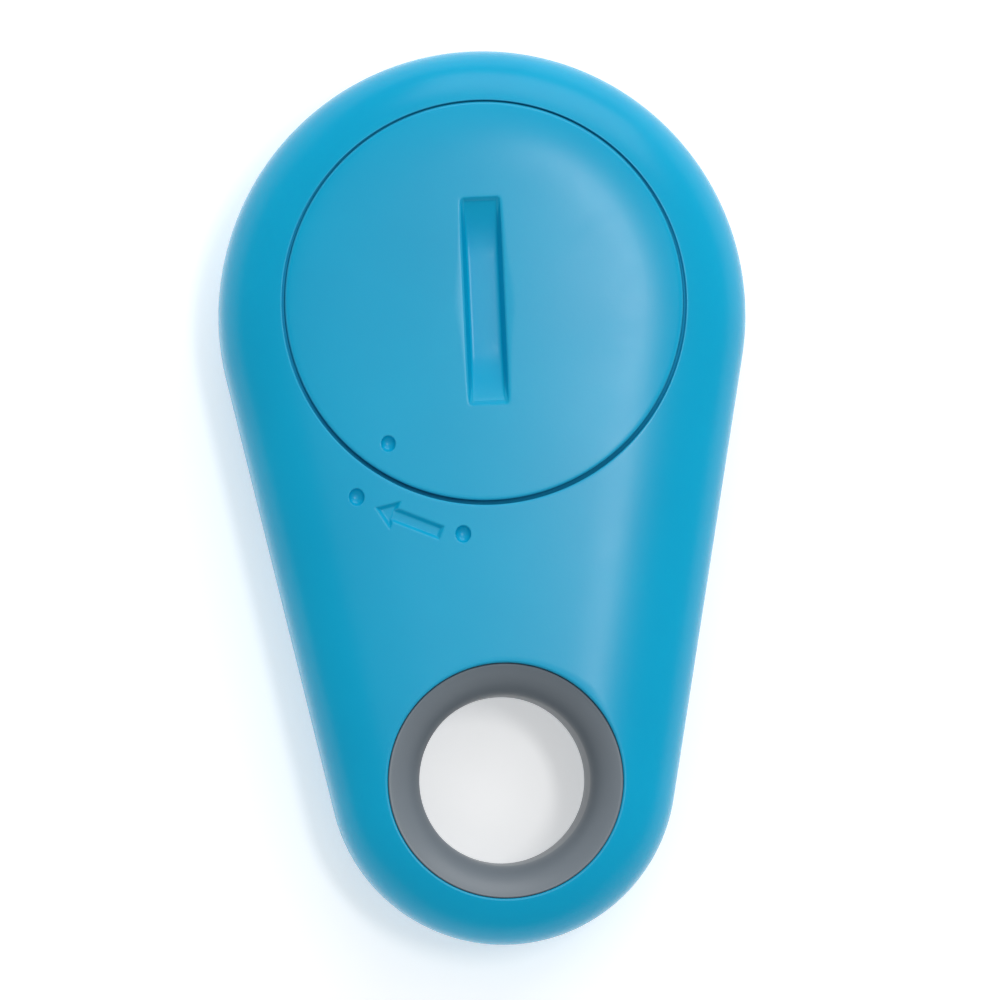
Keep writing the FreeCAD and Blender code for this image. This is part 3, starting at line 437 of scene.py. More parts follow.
def step_out(loop, normal_x, normal_y, distance):
    """A loop of points moved out along its normals."""
    return np.stack([loop[:, 0] + distance * normal_x, loop[:, 1] + distance * normal_y], axis=1)


# ---- the pieces that show ------------------------------------------------------------------------

# The shells' side wall, the inner sides of their faces, the lap joint's top and the edge rounds.
WALL = 1.2
INNER_ROUND = 3.0
ROOF = THICKNESS - 1.4
FLOOR = 1.3
LAP_TOP = SPLIT + 1.2
EDGE = 0.15
# The eyelet's seat in both shells.
NECK = 6.28
COLLAR = NECK + 1.1
RING_STEP = 1.28
RING_RIM = 0.16
# The door's seat. The gap round the door is wider towards the narrow end, by the shift.
SEAT = THICKNESS - 1.15
LEDGE = SEAT - 0.75
GAP_SHIFT = 0.08
GAP_RIM = 0.08
GAP_DEPTH = 0.95
DOOR_CLEARANCE = 0.02
CHAMBER = 11.65
CHAMBER_FLOOR = 5.2
# Where the rays of the two holes meet, on a line across the tag.
REAR_NECK_Y = -6.0
FRONT_NECK_Y = -2.2
# Lugs, ledges and ribs about the door's axis: their turns in degrees, then each kind of block's
# angle, inner and outer radius, bottom and top.
LUG_TURNS = (90, 210, 330)
LEDGE_OFFSET = 88
RIB_TURNS = (45, 135, 225, 315)
LUG_BLOCK = (24, 10.7, 11.5, 8.2, 9.0)
LEDGE_BLOCK = (93, 10.95, CHAMBER + 0.1, LEDGE, SEAT)
RIB_BLOCK = (6, 10.2, CHAMBER + 0.1, CHAMBER_FLOOR, 7.9)
# Posts and pins that hold the circuit board, and the front wall's small holes.
POSTS = ((11.2, 2.5), (-11.2, 2.5), (8.4, -7.2), (-8.4, -7.2))
POST_RADIUS = 0.9
REAR_POST_END = 4.9
FRONT_POST_END = 3.9
PIN_RADIUS = 0.6
PIN_END = 4.75
PIPE_HOLE = 1.05
SOUND_HOLE = 0.55
SOUND_SPACING = 2.2
SOUND_Y = -5.4


def rear_surface(x, y):
    """The rear shell's outer face, with its marks."""
    return rear_height(x, y) - shell_marks(x, y)


def rear_roof(x, y):
    """The rear shell's inner face."""
    return ROOF - round_drop(depth_inside(x, y) - WALL, INNER_ROUND)


def front_floor(x, y):
    """The front shell's inner face."""
    return FLOOR + round_drop(depth_inside(x, y) - WALL, INNER_ROUND)


def inner_wall(face):
    """Rows from the foot of the inner wall round to the border of the inner face."""
    end = math.asin((INNER_ROUND - BAND + WALL) / INNER_ROUND)
    turns = np.linspace(math.pi / 2, end, 8)[1:]
    return [(WALL + INNER_ROUND * (1 - math.sin(turn)), face) for turn in turns]


def beside_door(slope):
    """Distance from the shifted hole's centre to a circle just clear of the door, along a ray."""
    clear = DOOR_RADIUS + DOOR_CLEARANCE
    return GAP_SHIFT * slope + np.sqrt(clear**2 - GAP_SHIFT**2 * (1 - slope**2))


def make_rear_shell():
    """The rear half of the housing, with the door's seat, its ledges and ribs, and the board's posts."""
    base = SPLIT + GROOVE / 2
    top_of_ring = RING_TOP - RING_STEP
    groove = THICKNESS - GAP_DEPTH
    outside = CHAMBER + 0.8
    door_steps = [(outside, rear_roof), (outside, CHAMBER_FLOOR), (CHAMBER, CHAMBER_FLOOR), (CHAMBER, SEAT)]
    door_steps += [(beside_door, SEAT), (beside_door, groove), (APERTURE, groove)]
    ring_steps = [(COLLAR, rear_roof), (COLLAR, base), (NECK, base)]
    ring_steps += [(NECK, top_of_ring), (RING_HOLE, top_of_ring)]
    wall = [(0.0, base + 0.1), (0.03, base + 0.03), (0.1, base)]
    wall += [(WALL / 2, base), (WALL / 2, LAP_TOP), (WALL, LAP_TOP)]
    # Rays and rows lie close together where the dots and the arrow are.
    marks = -math.pi / 2 - np.radians(np.arange(4.5, 41.0, 0.14))
    rows = np.concatenate([np.linspace(0, 0.07, 4), np.arange(0.076, 0.43, 0.006), np.linspace(0.44, 1, 14)])
    inside = (door_steps, ring_steps, rear_roof, wall + inner_wall(rear_roof))
    hole = (DOOR_Y - GAP_SHIFT, APERTURE, GAP_RIM)
    shell = make_shell("rear_shell_moulding", rear_surface, 1, hole, REAR_NECK_Y, marks, rows, inside)
    ledges = [make_sector(middle + LEDGE_OFFSET, *LEDGE_BLOCK) for middle in LUG_TURNS]
    ribs = [make_sector(middle, *RIB_BLOCK) for middle in RIB_TURNS]
    posts = [make_post(x, y, POST_RADIUS, REAR_POST_END, rear_roof(x, y) + 0.3) for x, y in POSTS]
    return join(shell, ledges + ribs + posts)


def make_sector(middle, angle, inner, outer, bottom, top):
    """A curved block about the door's axis, with its long edges eased."""
    ease = min(0.06, (top - bottom) / 5)
    section = [(inner + ease, bottom), (inner, bottom + ease), (inner, top - ease), (inner + ease, top)]
    section += [(outer, top), (outer, bottom)]
    turns = np.radians(middle + angle * np.linspace(-0.5, 0.5, max(4, int(angle))))
    grid = np.empty((len(section), len(turns), 3))
    for row, (radius, z) in enumerate(section):
        grid[row, :, 0] = radius * np.cos(turns)
        grid[row, :, 1] = DOOR_Y + radius * np.sin(turns)
        grid[row, :, 2] = z
    closed = np.concatenate([grid, grid[:1]])
    return build_mesh("sector", [(closed, False)], caps=(grid[:, 0], grid[:, -1]))


def make_post(x, y, radius, end, foot):
    """A round post from a shell's wall at foot to its free end, whose edge is eased."""
    ease = math.copysign(0.08, foot - end)
    grid, wrap = lathe([(radius - 0.08, end), (radius, end + ease), (radius, foot)], (x, y), 32)
    return build_mesh("post", [(grid, wrap)], caps=(grid[0], grid[-1]))


def join(piece, others):
    """Add other closed solids of the same moulding to a piece's mesh."""
    mesh = bmesh.new()
    for part in [piece] + others:
        mesh.from_mesh(part.data)
    mesh.to_mesh(piece.data)
    mesh.free()
    for part in others:
        bpy.data.objects.remove(part)
    smooth(piece)
    return piece


def make_front_shell():
    """The front half of the housing, with the button's hole, the light's, and three for the sounder."""
    top = SPLIT - GROOVE / 2
    bottom_of_ring = THICKNESS - RING_TOP + RING_STEP
    button_steps = [(BUTTON_HOLE, front_floor)]
    ring_steps = [
        (COLLAR, front_floor),
        (COLLAR, top),
        (NECK, top),
        (NECK, bottom_of_ring),
        (RING_HOLE, bottom_of_ring),
    ]
    lip = WALL / 2 + 0.05
    lip_top = LAP_TOP - 0.18
    wall = [(0.0, top - 0.1), (0.03, top - 0.03), (0.1, top), (lip, top), (lip, lip_top), (WALL, lip_top)]
    wall.append((WALL, FLOOR + INNER_ROUND))
    inside = (button_steps, ring_steps, front_floor, wall + inner_wall(front_floor))
    hole = (DOOR_Y, BUTTON_HOLE, EDGE)
    rows = np.linspace(0, 1, 20)
    no_marks = np.array([])
    shell = make_shell("front_shell_moulding", front_height, -1, hole, FRONT_NECK_Y, no_marks, rows, inside)
    low, high = box_mm("light_pipe")
    drill(shell, (0, (low[1] + high[1]) / 2), PIPE_HOLE)
    for column in (-1, 0, 1):
        drill(shell, (column * SOUND_SPACING, SOUND_Y), SOUND_HOLE)
    posts = [make_post(x, y, POST_RADIUS, FRONT_POST_END, front_floor(x, y) - 0.3) for x, y in POSTS]
    pins = [make_post(x, y, PIN_RADIUS, PIN_END, FRONT_POST_END - 0.1) for x, y in POSTS]
    return join(shell, posts + pins)


def drill(piece, centre, radius):
    """Cut a round hole with a softened mouth through the front wall."""
    lip = 0.12
    profile = [(radius + 2 * lip, -lip), (radius, lip), (radius, FLOOR + 0.4)]
    grid, wrap = lathe(profile, centre, 64)
    cutter = build_mesh("cutter", [(grid, wrap)], caps=(grid[0], grid[-1]))
    modifier = piece.modifiers.new("hole", "BOOLEAN")
    modifier.operation = "DIFFERENCE"
    modifier.solver = "EXACT"
    modifier.object = cutter
    apply_modifiers(piece)
    bpy.data.objects.remove(cutter)
    smooth(piece)


def apply_modifiers(piece):
    """Turn a piece's modifiers into its mesh."""
    graph = bpy.context.evaluated_depsgraph_get()
    data = bpy.data.meshes.new_from_object(piece.evaluated_get(graph))
    piece.modifiers.clear()
    piece.data = data


SLOT_WIDTH = 2.27
SLOT_LENGTH = 12.0
SLOT_DEPTH = 0.85
SLOT_CORNER = 0.2
SLOT_ROUND = 0.16
# Each ramp's length, and the depth at its outer end as a share of the full depth.
SLOT_RAMP = 3.2
SLOT_END = 0.12
# The walls' lean, and the round between them and the floor.
SLOT_DRAFT = math.tan(math.radians(20))
SLOT_FLOOR_ROUND = 0.18


def slot_distance(x, y):
    """Signed distance to the coin slot's rounded rectangle, negative inside."""
    over_x = np.abs(x) - SLOT_WIDTH / 2 + SLOT_CORNER
    over_y = np.abs(y - DOOR_Y) - SLOT_LENGTH / 2 + SLOT_CORNER
    outside = np.hypot(np.maximum(over_x, 0), np.maximum(over_y, 0))
    return outside + np.minimum(np.maximum(over_x, over_y), 0) - SLOT_CORNER


def door_surface(x, y):
    """The door's outer face, with its dot."""
    mark = around_door(DOOR_DOT_OFFSET, DOOR_DOT_ANGLE)
    return rear_height(x, y) - dimple(x, y, mark, 0.43)


def slot_share(y):
    """Share of the full depth that the slot has at one place: its floor rises in a ramp at each end."""
    ramp = np.clip((SLOT_LENGTH / 2 - np.abs(y - DOOR_Y)) / SLOT_RAMP, 0, 1)
    return SLOT_END + (1 - SLOT_END) * np.sin(ramp * math.pi / 2)


def slot_rows(angles):
    """Loops down into the coin slot: rounded mouth, drafted wall, rounded floor, and its middle line."""
    lip = np.linspace(0, math.pi / 2, 7)
    steps = [(SLOT_ROUND * (1 - math.sin(turn)), SLOT_ROUND * (1 - math.cos(turn))) for turn in lip]
    foot = SLOT_DEPTH - SLOT_FLOOR_ROUND
    wall_in = -SLOT_DRAFT * (foot - SLOT_ROUND)
    for turn in np.linspace(0, math.pi / 2, 5):
        inset = wall_in - SLOT_FLOOR_ROUND * (1 - math.cos(turn))
        steps.append((inset, foot + SLOT_FLOOR_ROUND * math.sin(turn)))
    steps.append((wall_in - SLOT_FLOOR_ROUND - 0.1, SLOT_DEPTH))
    rows = []
    for grow, depth in steps:
        reach = cross(lambda x, y, grow=grow: slot_distance(x, y) < grow, DOOR_Y, angles)
        plan = np.stack([reach * np.cos(angles), DOOR_Y + reach * np.sin(angles)], axis=1)
        rows.append(lift(plan[None], lambda x, y, depth=depth: rear_height(x, y) - depth * slot_share(y)))
    # Neighbouring rays share a station on the middle line, so that the floor closes along it.
    spine = rows[-1].copy()
    end = np.abs(spine[..., 1] - DOOR_Y).max()
    stations = 10
    shares = np.round((spine[..., 1] - DOOR_Y) / end * stations) / stations
    spine[..., 0] = 0
    spine[..., 1] = DOOR_Y + shares * (end - 0.4)
    spine[..., 2] = THICKNESS - SLOT_DEPTH * slot_share(spine[..., 1])
    rows.append(spine)
    return np.concatenate(rows)


def make_battery_door():
    """The turn-to-lock door: slotted face, flange, skirt round the cell, and three lugs."""
    corner = math.atan2(SLOT_LENGTH / 2, SLOT_WIDTH / 2)
    # Rays lie close together at the slot's corners and across the dot.
    around = np.concatenate([np.arange(-6, -1.8, 0.4), np.arange(-1.8, 1.8, 0.15), np.arange(1.8, 6, 0.4)])
    dense = [a + np.radians(around) for a in (corner, math.pi - corner)]
    dense += [a - math.pi for a in dense[:2]]
    mark = -math.pi / 2 - DOOR_DOT_ANGLE
    dense.append(mark + np.radians(np.arange(-3.6, 3.6, 0.2)))
    angles = np.linspace(-math.pi, math.pi, 240, endpoint=False)
    for group in dense:
        angles = angles[(angles < group.min() - 1e-3) | (angles > group.max() + 1e-3)]
    angles = np.sort(np.concatenate([angles] + dense))
    mouth = slot_rows(angles)
    border = np.stack([np.cos(angles), DOOR_Y + np.sin(angles)], axis=1)
    inner = np.hypot(mouth[0, :, 0], mouth[0, :, 1] - DOOR_Y)
    dot = DOOR_DOT_OFFSET
    beyond = np.linspace(dot + 0.65, DOOR_RADIUS - EDGE, 6)
    fixed = np.concatenate([np.arange(dot - 0.6, dot + 0.6, 0.04), beyond])
    shares = np.linspace(0, 1, 16)[:-1]
    fanned = inner + shares[:, None] * (fixed[0] - inner)
    reach = np.concatenate([fanned, np.repeat(fixed[:, None], len(angles), 1)])
    plan = np.stack([reach * np.cos(angles), DOOR_Y + reach * np.sin(angles)], axis=2)
    # The skirt's outer and inner radius, the ceiling over the cell, and the flange's underside.
    skirt, bore, ceiling = 10.8, 10.15, 8.8
    flange = THICKNESS - 1.1
    rim = []
    for turn in np.linspace(0, math.pi / 2, 6):
        drop = EDGE * (1 - math.cos(turn))
        out = DOOR_RADIUS - EDGE + EDGE * math.sin(turn)
        rim.append((out, lambda x, y, drop=drop: rear_height(x, y) - drop))
    under = [(DOOR_RADIUS, flange), (skirt, flange), (skirt, door_low[2])]
    under += [(bore, door_low[2]), (bore, ceiling)]
    body = ring_rows(border, DOOR_Y, rim + under)
    grids = [(mouth, True), (lift(plan, door_surface), True), (body, True)]
    door = build_mesh("battery_door_moulding", grids, caps=(body[-1],))
    lugs = [make_sector(middle, *LUG_BLOCK) for middle in LUG_TURNS]
    return join(door, lugs)


def make_eyelet():
    """The hourglass eyelet, its bells meeting the flanges in small rounds."""
    # tilt is where the bell's arc meets the rim, and crease where the drafted land leaves the arc.
    bell = BELL_RADIUS
    centre_r = BORE + bell
    rise = math.sqrt(bell**2 - (bell - RING_RADIUS + BORE) ** 2)
    waist = RING_TOP - rise
    lip = 0.12
    tilt = math.degrees(math.atan2(rise, bell - RING_RADIUS + BORE))
    crease = math.degrees(math.acos((bell - LAND_DRAFT) / bell))
    bell_arc = arc((centre_r, waist), bell, 180 - crease, 180 - tilt + 3, 40)
    end_r, end_z = bell_arc[-1]
    crest = [(end_r + 0.05, end_z + 0.005), (RING_RADIUS - lip * 0.3, end_z - lip * 0.2)]
    flange, neck = RING_TOP - 1.2, 6.2
    upper = bell_arc + crest + [(RING_RADIUS, end_z - lip), (RING_RADIUS, flange), (neck, flange)]
    foot = arc((centre_r, waist), bell, 180, 180 - tilt + 3, 40) + upper[len(bell_arc):]
    lower = [(r, THICKNESS - z) for r, z in foot[::-1]]
    profile = upper + lower
    grid, wrap = lathe(profile + profile[:1], (0, RING_Y), 220)
    return build_mesh("eyelet_ring_moulding", [(grid, wrap)])


def make_button():
    """The round button: a dished face with a rounded rim, and a stem that meets the switch."""
    radius = 6.0
    stem = 1.2
    face = button_low[2]
    seat = FLOOR + 0.05
    flange = (button_high[0] - button_low[0]) / 2
    tip = button_high[2]
    dish = [(share * 5.4, face + 0.2 * (1 - share**2)) for share in np.linspace(0.02, 1, 16)]
    rim = arc((radius - 0.3, face + 0.3), 0.3, -90, 0, 12)
    profile = dish + rim + [(radius, seat), (flange, seat), (flange, seat + 0.65)]
    profile += [(stem, seat + 0.65), (stem, tip)]
    grid, wrap = lathe(profile, (0, DOOR_Y), 200)
    return build_mesh("push_button_cap", [(grid, wrap)], caps=(grid[0], grid[-1]))


def make_light_pipe():
    """The clear pin over the status light: a domed tip, a flange inside the wall, and a stem."""
    low, high = box_mm("light_pipe")
    y = (low[1] + high[1]) / 2
    flange = (high[0] - low[0]) / 2
    radius = flange - 0.6
    dome = [(share * 0.72, low[2] + 0.06 * share**2) for share in np.linspace(0.05, 1, 8)]
    profile = dome + arc((radius - 0.22, low[2] + 0.28), 0.22, -80, 0, 8)
    step = FLOOR + 0.02
    profile += [(radius, step), (flange, step), (flange, step + 0.6), (radius - 0.1, step + 0.8)]
    profile += [(radius - 0.1, high[2])]
    grid, wrap = lathe(profile, (0, y), 72)
    return build_mesh("light_pipe_lens", [(grid, wrap)], caps=(grid[0], grid[-1]))


def make_switch_dome():
    """The switch's sprung dome: its rim stands on the base, and its crown faces the plunger."""
    low, high = box_mm("switch_dome")
    rim, foot, sheet = (high[0] - low[0]) / 2, 0.15, 0.07
    rise = high[2] - low[2]
    power = 2.8
    throat = rim - foot
    outer = [(r, low[2] + (rise - 0.08) * (r / rim) ** power) for r in np.linspace(0.04, rim, 14)]
    radii = np.linspace(throat, 0.04, 14)
    inner = [(r, low[2] + sheet + (rise - sheet) * (r / throat) ** power) for r in radii]
    grid, wrap = lathe(outer + [(rim, high[2])] + inner, (0, (low[1] + high[1]) / 2), 64)
    return build_mesh("switch_dome_spring", [(grid, wrap)], caps=(grid[0], grid[-1]))


# ---- materials -----------------------------------------------------------------------------------

# slot: base colour, second colour, roughness, metallic, grain size (mm), bump depth (mm), pattern.
LOOKS = {
    "blue_plastic": ((0.001, 0.420, 0.690), (0.001, 0.395, 0.660), 0.26, 0, 0.16, 0.0016, "moulded"),
    "grey_plastic": ((0.200, 0.235, 0.268), (0.182, 0.214, 0.245), 0.40, 0, 0.14, 0.0016, "moulded"),
    "button_plastic": ((0.001, 0.420, 0.690), (0.001, 0.395, 0.660), 0.30, 0, 0.20, 0.0022, "moulded"),
    "clear_plastic": ((0.80, 0.87, 0.90), (0.72, 0.80, 0.84), 0.30, 0, 0.12, 0.0014, "moulded"),
    "board": ((0.010, 0.110, 0.035), (0.022, 0.160, 0.055), 0.42, 0, 1.10, 0.0060, "traces"),
    "copper": ((0.780, 0.330, 0.120), (0.600, 0.220, 0.080), 0.34, 1, 0.30, 0.0040, "wound"),
    "chip_black": ((0.016, 0.016, 0.018), (0.028, 0.028, 0.030), 0.58, 0, 0.05, 0.0015, "moulded"),
    "tinned_metal": ((0.620, 0.620, 0.600), (0.460, 0.460, 0.450), 0.30, 1, 0.25, 0.0020, "moulded"),
    "ceramic_tan": ((0.360, 0.200, 0.095), (0.280, 0.150, 0.070), 0.55, 0, 0.06, 0.0015, "moulded"),
    "steel": ((0.560, 0.570, 0.580), (0.430, 0.440, 0.455), 0.26, 1, 0.10, 0.0016, "brushed"),
    "ferrite": ((0.036, 0.036, 0.040), (0.060, 0.060, 0.064), 0.62, 0, 0.08, 0.0030, "moulded"),
    "white_plastic": ((0.760, 0.760, 0.710), (0.690, 0.690, 0.640), 0.42, 0, 0.15, 0.0014, "moulded"),
    "magnet": ((0.110, 0.110, 0.115), (0.075, 0.075, 0.080), 0.48, 1, 0.07, 0.0030, "moulded"),
    "lithium": ((0.500, 0.510, 0.530), (0.360, 0.370, 0.400), 0.40, 1, 0.35, 0.0030, "brushed"),
    "paper_white": ((0.780, 0.780, 0.750), (0.650, 0.650, 0.620), 0.85, 0, 0.09, 0.0120, "felt"),
    "cathode_black": ((0.014, 0.014, 0.014), (0.030, 0.029, 0.028), 0.80, 0, 0.07, 0.0100, "felt"),
    "spring_metal": ((0.700, 0.470, 0.160), (0.560, 0.350, 0.110), 0.28, 1, 0.12, 0.0016, "brushed"),
}
# Painted shade: the deep blue that darkens the gap round the door, standing in for the shadow down in it.
GAP_SHADE_TINT = (0.0005, 0.24, 0.46)
# The slots of the pieces made here, whose meshes carry the "worn" values and the mask of the painted shade
# in the gap round the door.
SHOWN = ("blue_plastic", "grey_plastic", "button_plastic", "clear_plastic")
# The slot whose gap round the door gets painted shade.
GAP_SHADED = ("blue_plastic",)


def node(tree, kind, **values):
    """Add a node, setting its plain attributes and, by name, its unlinked inputs."""
    new = tree.nodes.new(kind)
    for key, value in values.items():
        if hasattr(new, key):
            setattr(new, key, value)
        else:
            new.inputs[key.replace("_", " ")].default_value = value
    return new


def blend_colour(tree, factor, first, second):
    """Colour node between two colours, or a socket and a colour, by a factor socket."""
    mix = node(tree, "ShaderNodeMix", data_type="RGBA")
    tree.links.new(factor, mix.inputs[0])
    for socket, colour in ((mix.inputs[6], first), (mix.inputs[7], second)):
        if isinstance(colour, tuple):
            socket.default_value = (*colour, 1)
        else:
            tree.links.new(colour, socket)
    return mix.outputs[2]


def spread(tree, source, low, high, start=0.3, end=0.7):
    """Map a texture's value from start..end onto low..high."""
    span = node(tree, "ShaderNodeMapRange", From_Min=start, From_Max=end, To_Min=low, To_Max=high)
    tree.links.new(source, span.inputs["Value"])
    return span.outputs["Result"]


def noise(tree, place, size, detail=2.0, stretch=(1, 1, 1), distortion=0.0):
    """Noise whose features are about size millimetres across, stretched along the axes."""
    mapping = node(tree, "ShaderNodeMapping", Scale=tuple(1 / (size * MM * s) for s in stretch))
    tree.links.new(place, mapping.inputs["Vector"])
    texture = node(tree, "ShaderNodeTexNoise", Scale=1.0, Detail=detail, Distortion=distortion)
    tree.links.new(mapping.outputs["Vector"], texture.inputs["Vector"])
    return texture.outputs["Fac"]


def relief(tree, place, pattern, size):
    """The height that a finish's bump follows."""
    if pattern == "brushed":
        return noise(tree, place, size, 3.0, (1, 14, 1))
    if pattern == "wound":
        mapping = node(tree, "ShaderNodeMapping", Scale=(1 / MM, 1 / MM, 1 / MM))
        tree.links.new(place, mapping.inputs["Vector"])
        wave = node(tree, "ShaderNodeTexWave", bands_direction="Z", Scale=1.6, Distortion=0.4, Detail=1.0)
        tree.links.new(mapping.outputs["Vector"], wave.inputs["Vector"])
        return wave.outputs["Fac"]
    if pattern == "traces":
        mapping = node(tree, "ShaderNodeMapping", Scale=(1 / (size * MM),) * 3)
        tree.links.new(place, mapping.inputs["Vector"])
        cells = node(tree, "ShaderNodeTexVoronoi", distance="MANHATTAN", feature="F1", Scale=1.0)
        tree.links.new(mapping.outputs["Vector"], cells.inputs["Vector"])
        return spread(tree, cells.outputs["Distance"], 0.0, 1.0, 0.42, 0.48)
    if pattern == "felt":
        return noise(tree, place, size, 6.0, (1, 1, 1), 2.0)
    return noise(tree, place, size, 3.0)


def make_material(slot, look):
    """A finish with clouded colour, paler worn rims, smudged gloss and a fine relief, and painted shade down
    in the gap round the door.
    """
    base, second, roughness, metallic, size, depth, pattern = look
    material = bpy.data.materials.new(slot + "_finish")
    material.use_nodes = True
    tree = material.node_tree
    shader = tree.nodes["Principled BSDF"]
    place = node(tree, "ShaderNodeTexCoord").outputs["Object"]
    cloud_size, smudge_size = 9.0, 3.5
    cloud = spread(tree, noise(tree, place, cloud_size, 3.0), 0.0, 1.0)
    colour = blend_colour(tree, cloud, base, second)
    height = relief(tree, place, pattern, size)
    if pattern in ("traces", "felt", "brushed"):
        colour = blend_colour(tree, spread(tree, height, 0.0, 0.6), colour, second)
    if slot in SHOWN:
        wear = node(tree, "ShaderNodeAttribute", attribute_name="worn").outputs["Fac"]
        worn = spread(tree, wear, 0.0, 0.10, 0.2, 1.0)
    else:
        edge = node(tree, "ShaderNodeNewGeometry").outputs["Pointiness"]
        worn = spread(tree, edge, 0.0, 0.25, 0.55, 0.65)
    paleness, grey = 0.25, 0.55 if metallic else 0.6
    pale = tuple((1 - paleness) * c + paleness * grey for c in base)
    colour = blend_colour(tree, worn, colour, pale)
    smudge = noise(tree, place, smudge_size, 4.0, (1, 1, 1), 0.6)
    smear = 0.012 if slot in SHOWN else 0.035
    matt = spread(tree, smudge, roughness - smear, roughness + smear)
    # Painted shade: down in the gap round the door the colour turns towards a deep blue that stands in for
    # the shadow there, and the roughness rises.
    if slot in GAP_SHADED:
        gap_shade = node(tree, "ShaderNodeAttribute", attribute_name="gap_shade").outputs["Fac"]
        colour = blend_colour(tree, spread(tree, gap_shade, 0.0, 0.6, 0.0, 1.0), colour, GAP_SHADE_TINT)
        gap_roughness = node(tree, "ShaderNodeMath", operation="ADD")
        tree.links.new(matt, gap_roughness.inputs[0])
        tree.links.new(spread(tree, gap_shade, 0.0, 0.5, 0.0, 1.0), gap_roughness.inputs[1])
        matt = gap_roughness.outputs["Value"]
    tree.links.new(colour, shader.inputs["Base Color"])
    tree.links.new(matt, shader.inputs["Roughness"])
    shader.inputs["Metallic"].default_value = metallic
    bump = node(tree, "ShaderNodeBump", Strength=1.0, Distance=depth * MM)
    tree.links.new(height, bump.inputs["Height"])
    tree.links.new(bump.outputs["Normal"], shader.inputs["Normal"])
    if slot in ("blue_plastic", "button_plastic"):
        shader.inputs["Specular IOR Level"].default_value = 0.25
        shader.inputs["Subsurface Weight"].default_value = 0.25
        shader.inputs["Subsurface Radius"].default_value = (0.3, 0.8, 1.0)
        shader.inputs["Subsurface Scale"].default_value = 0.35 * MM
    if slot == "clear_plastic":
        shader.inputs["Transmission Weight"].default_value = 0.55
        shader.inputs["IOR"].default_value = 1.58
    if slot in ("paper_white", "cathode_black"):
        shader.inputs["Specular IOR Level"].default_value = 0.25
    return material


materials = {slot: make_material(slot, look) for slot, look in LOOKS.items()}
slot_of = {}
for name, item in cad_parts.items():
    slot_of[name] = item.data.materials[0].name.split(".")[0] if item.data.materials else "steel"
    item.data.materials.clear()
    item.data.materials.append(materials[slot_of[name]])


def fit_out(piece, body, cad_node, slot):
    """Give a visible piece its finish and its body, and hide the CAD node that it stands for."""
    piece.data.materials.clear()
    piece.data.materials.append(materials[slot])
    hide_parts(cad_node)
    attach(piece, body)
    return piece


fit_out(make_rear_shell(), "housing", "rear_shell", "blue_plastic")
fit_out(make_front_shell(), "housing", "front_shell", "blue_plastic")
fit_out(make_battery_door(), "door", "battery_door", "blue_plastic")
fit_out(make_eyelet(), "housing", "eyelet_ring", "grey_plastic")
fit_out(make_button(), "button", "push_button", "button_plastic")
fit_out(make_light_pipe(), "housing", "light_pipe", "clear_plastic")

# The switch's dome gets a mesh of its own. The pressed button would flatten it against the switch's base by
# its whole travel, but no pressed shape is made here.
spring = fit_out(make_switch_dome(), "housing", "switch_dome", slot_of["switch_dome"])
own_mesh(spring)


# ---- floor, light and camera ---------------------------------------------------------------------


FLOOR_GLOW = 0.4


def make_floor():
    """A pale sweep under the tag, raised smoothly towards its far edges."""
    count = 60
    mesh = bmesh.new()
    reach = np.linspace(-1.6, 1.6, count)
    dots = []
    for x in reach:
        row = []
        for y in reach:
            away = max(0.0, math.hypot(x, y) - 1.0)
            row.append(mesh.verts.new((x, y, 0.5 * away**2 - 0.0001)))
        dots.append(row)
    for i in range(count - 1):
        for j in range(count - 1):
            mesh.faces.new((dots[i][j], dots[i + 1][j], dots[i + 1][j + 1], dots[i][j + 1]))
    data = bpy.data.meshes.new("studio_floor")
    mesh.to_mesh(data)
    mesh.free()
    floor = bpy.data.objects.new("studio_floor", data)
    bpy.context.scene.collection.objects.link(floor)
    floor.data.shade_smooth()
    material = bpy.data.materials.new("studio_paper")
    material.use_nodes = True
    tree = material.node_tree
    shader = tree.nodes["Principled BSDF"]
    place = node(tree, "ShaderNodeTexCoord").outputs["Object"]
    fibre = spread(tree, noise(tree, place, 40.0, 3.0), 0.0, 1.0)
    paper = blend_colour(tree, fibre, (0.93, 0.93, 0.93), (0.91, 0.91, 0.91))
    tree.links.new(paper, shader.inputs["Base Color"])
    shader.inputs["Roughness"].default_value = 0.8
    shader.inputs["Specular IOR Level"].default_value = 0.1
    shader.inputs["Emission Color"].default_value = (1, 1, 1, 1)
    shader.inputs["Emission Strength"].default_value = FLOOR_GLOW
    floor.data.materials.append(material)


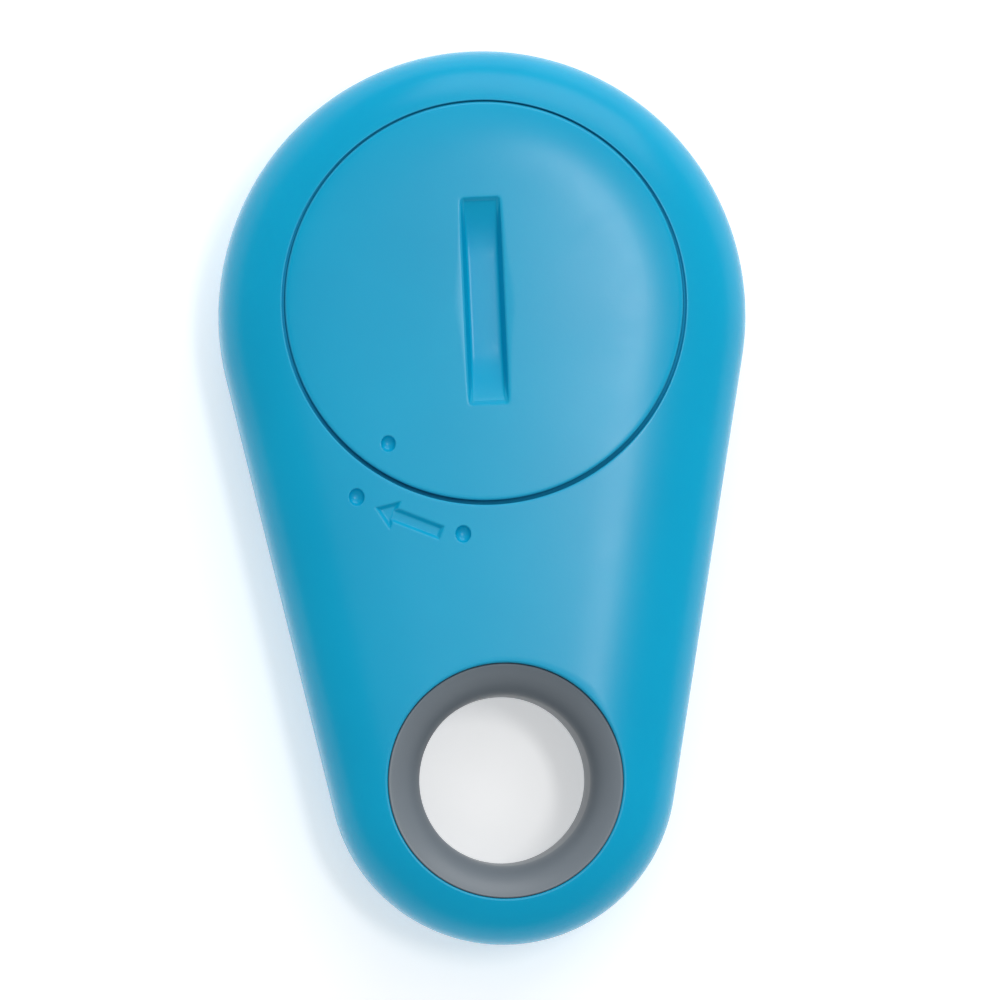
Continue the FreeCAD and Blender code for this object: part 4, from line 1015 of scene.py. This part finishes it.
def soft_box(name, place, size, power):
    """A rectangular light at one point, facing the tag; size is (width, height) in metres."""
    data = bpy.data.lights.new(name, "AREA")
    data.shape = "RECTANGLE"
    data.size, data.size_y = size
    data.energy = power
    light = bpy.data.objects.new(name, data)
    light.location = place
    light.rotation_euler = (-Vector(place)).to_track_quat("-Z", "Y").to_euler()
    bpy.context.scene.collection.objects.link(light)


make_floor()
world = bpy.data.worlds.new("studio")
world.use_nodes = True
sky = world.node_tree.nodes["Background"]
sky.inputs["Color"].default_value = (1, 1, 1, 1)
sky.inputs["Strength"].default_value = 0.28
bpy.context.scene.world = world
bpy.context.scene.view_settings.view_transform = "Standard"
soft_box("overhead_softbox", (0.05, 0.10, 1.1), (1.0, 1.0), 2.65)
soft_box("top_softbox", (0.30, 0.85, 0.65), (1.1, 0.6), 5.4)
soft_box("gleam", (0.22, 0.085, 1.1), (0.22, 0.10), 2.2)

# The tag stands a little turned in the picture. The shift is in millimetres, right and up, and the
# lean is the camera's slope from straight above, right and up.
IMAGE_UP = Vector((0.0448, 0.9990, 0))
IMAGE_RIGHT = Vector((0.9990, -0.0448, 0))
FRAME_WIDTH = 58.25 * MM
FRAME_SHIFT = (0.575, -0.094)
LEAN = (-0.035, -0.0225)
DISTANCE = 0.7


def make_camera():
    """Looks almost straight down on the rear face, leaning a little towards the lower left."""
    shift = FRAME_SHIFT[0] * IMAGE_RIGHT + FRAME_SHIFT[1] * IMAGE_UP
    target = Vector((0, 0, THICKNESS / 2 * MM)) + shift * MM
    away = (Vector((0, 0, 1)) + LEAN[0] * IMAGE_RIGHT + LEAN[1] * IMAGE_UP).normalized()
    right = IMAGE_UP.cross(away).normalized()
    up = away.cross(right)
    data = bpy.data.cameras.new("camera")
    data.lens = data.sensor_width * DISTANCE / FRAME_WIDTH
    data.clip_start, data.clip_end = 0.05, 10
    camera = bpy.data.objects.new("camera", data)
    turn = Matrix((right, up, away)).transposed().to_4x4()
    camera.matrix_world = Matrix.Translation(target + away * DISTANCE) @ turn
    bpy.context.scene.collection.objects.link(camera)
    bpy.context.scene.camera = camera


make_camera()
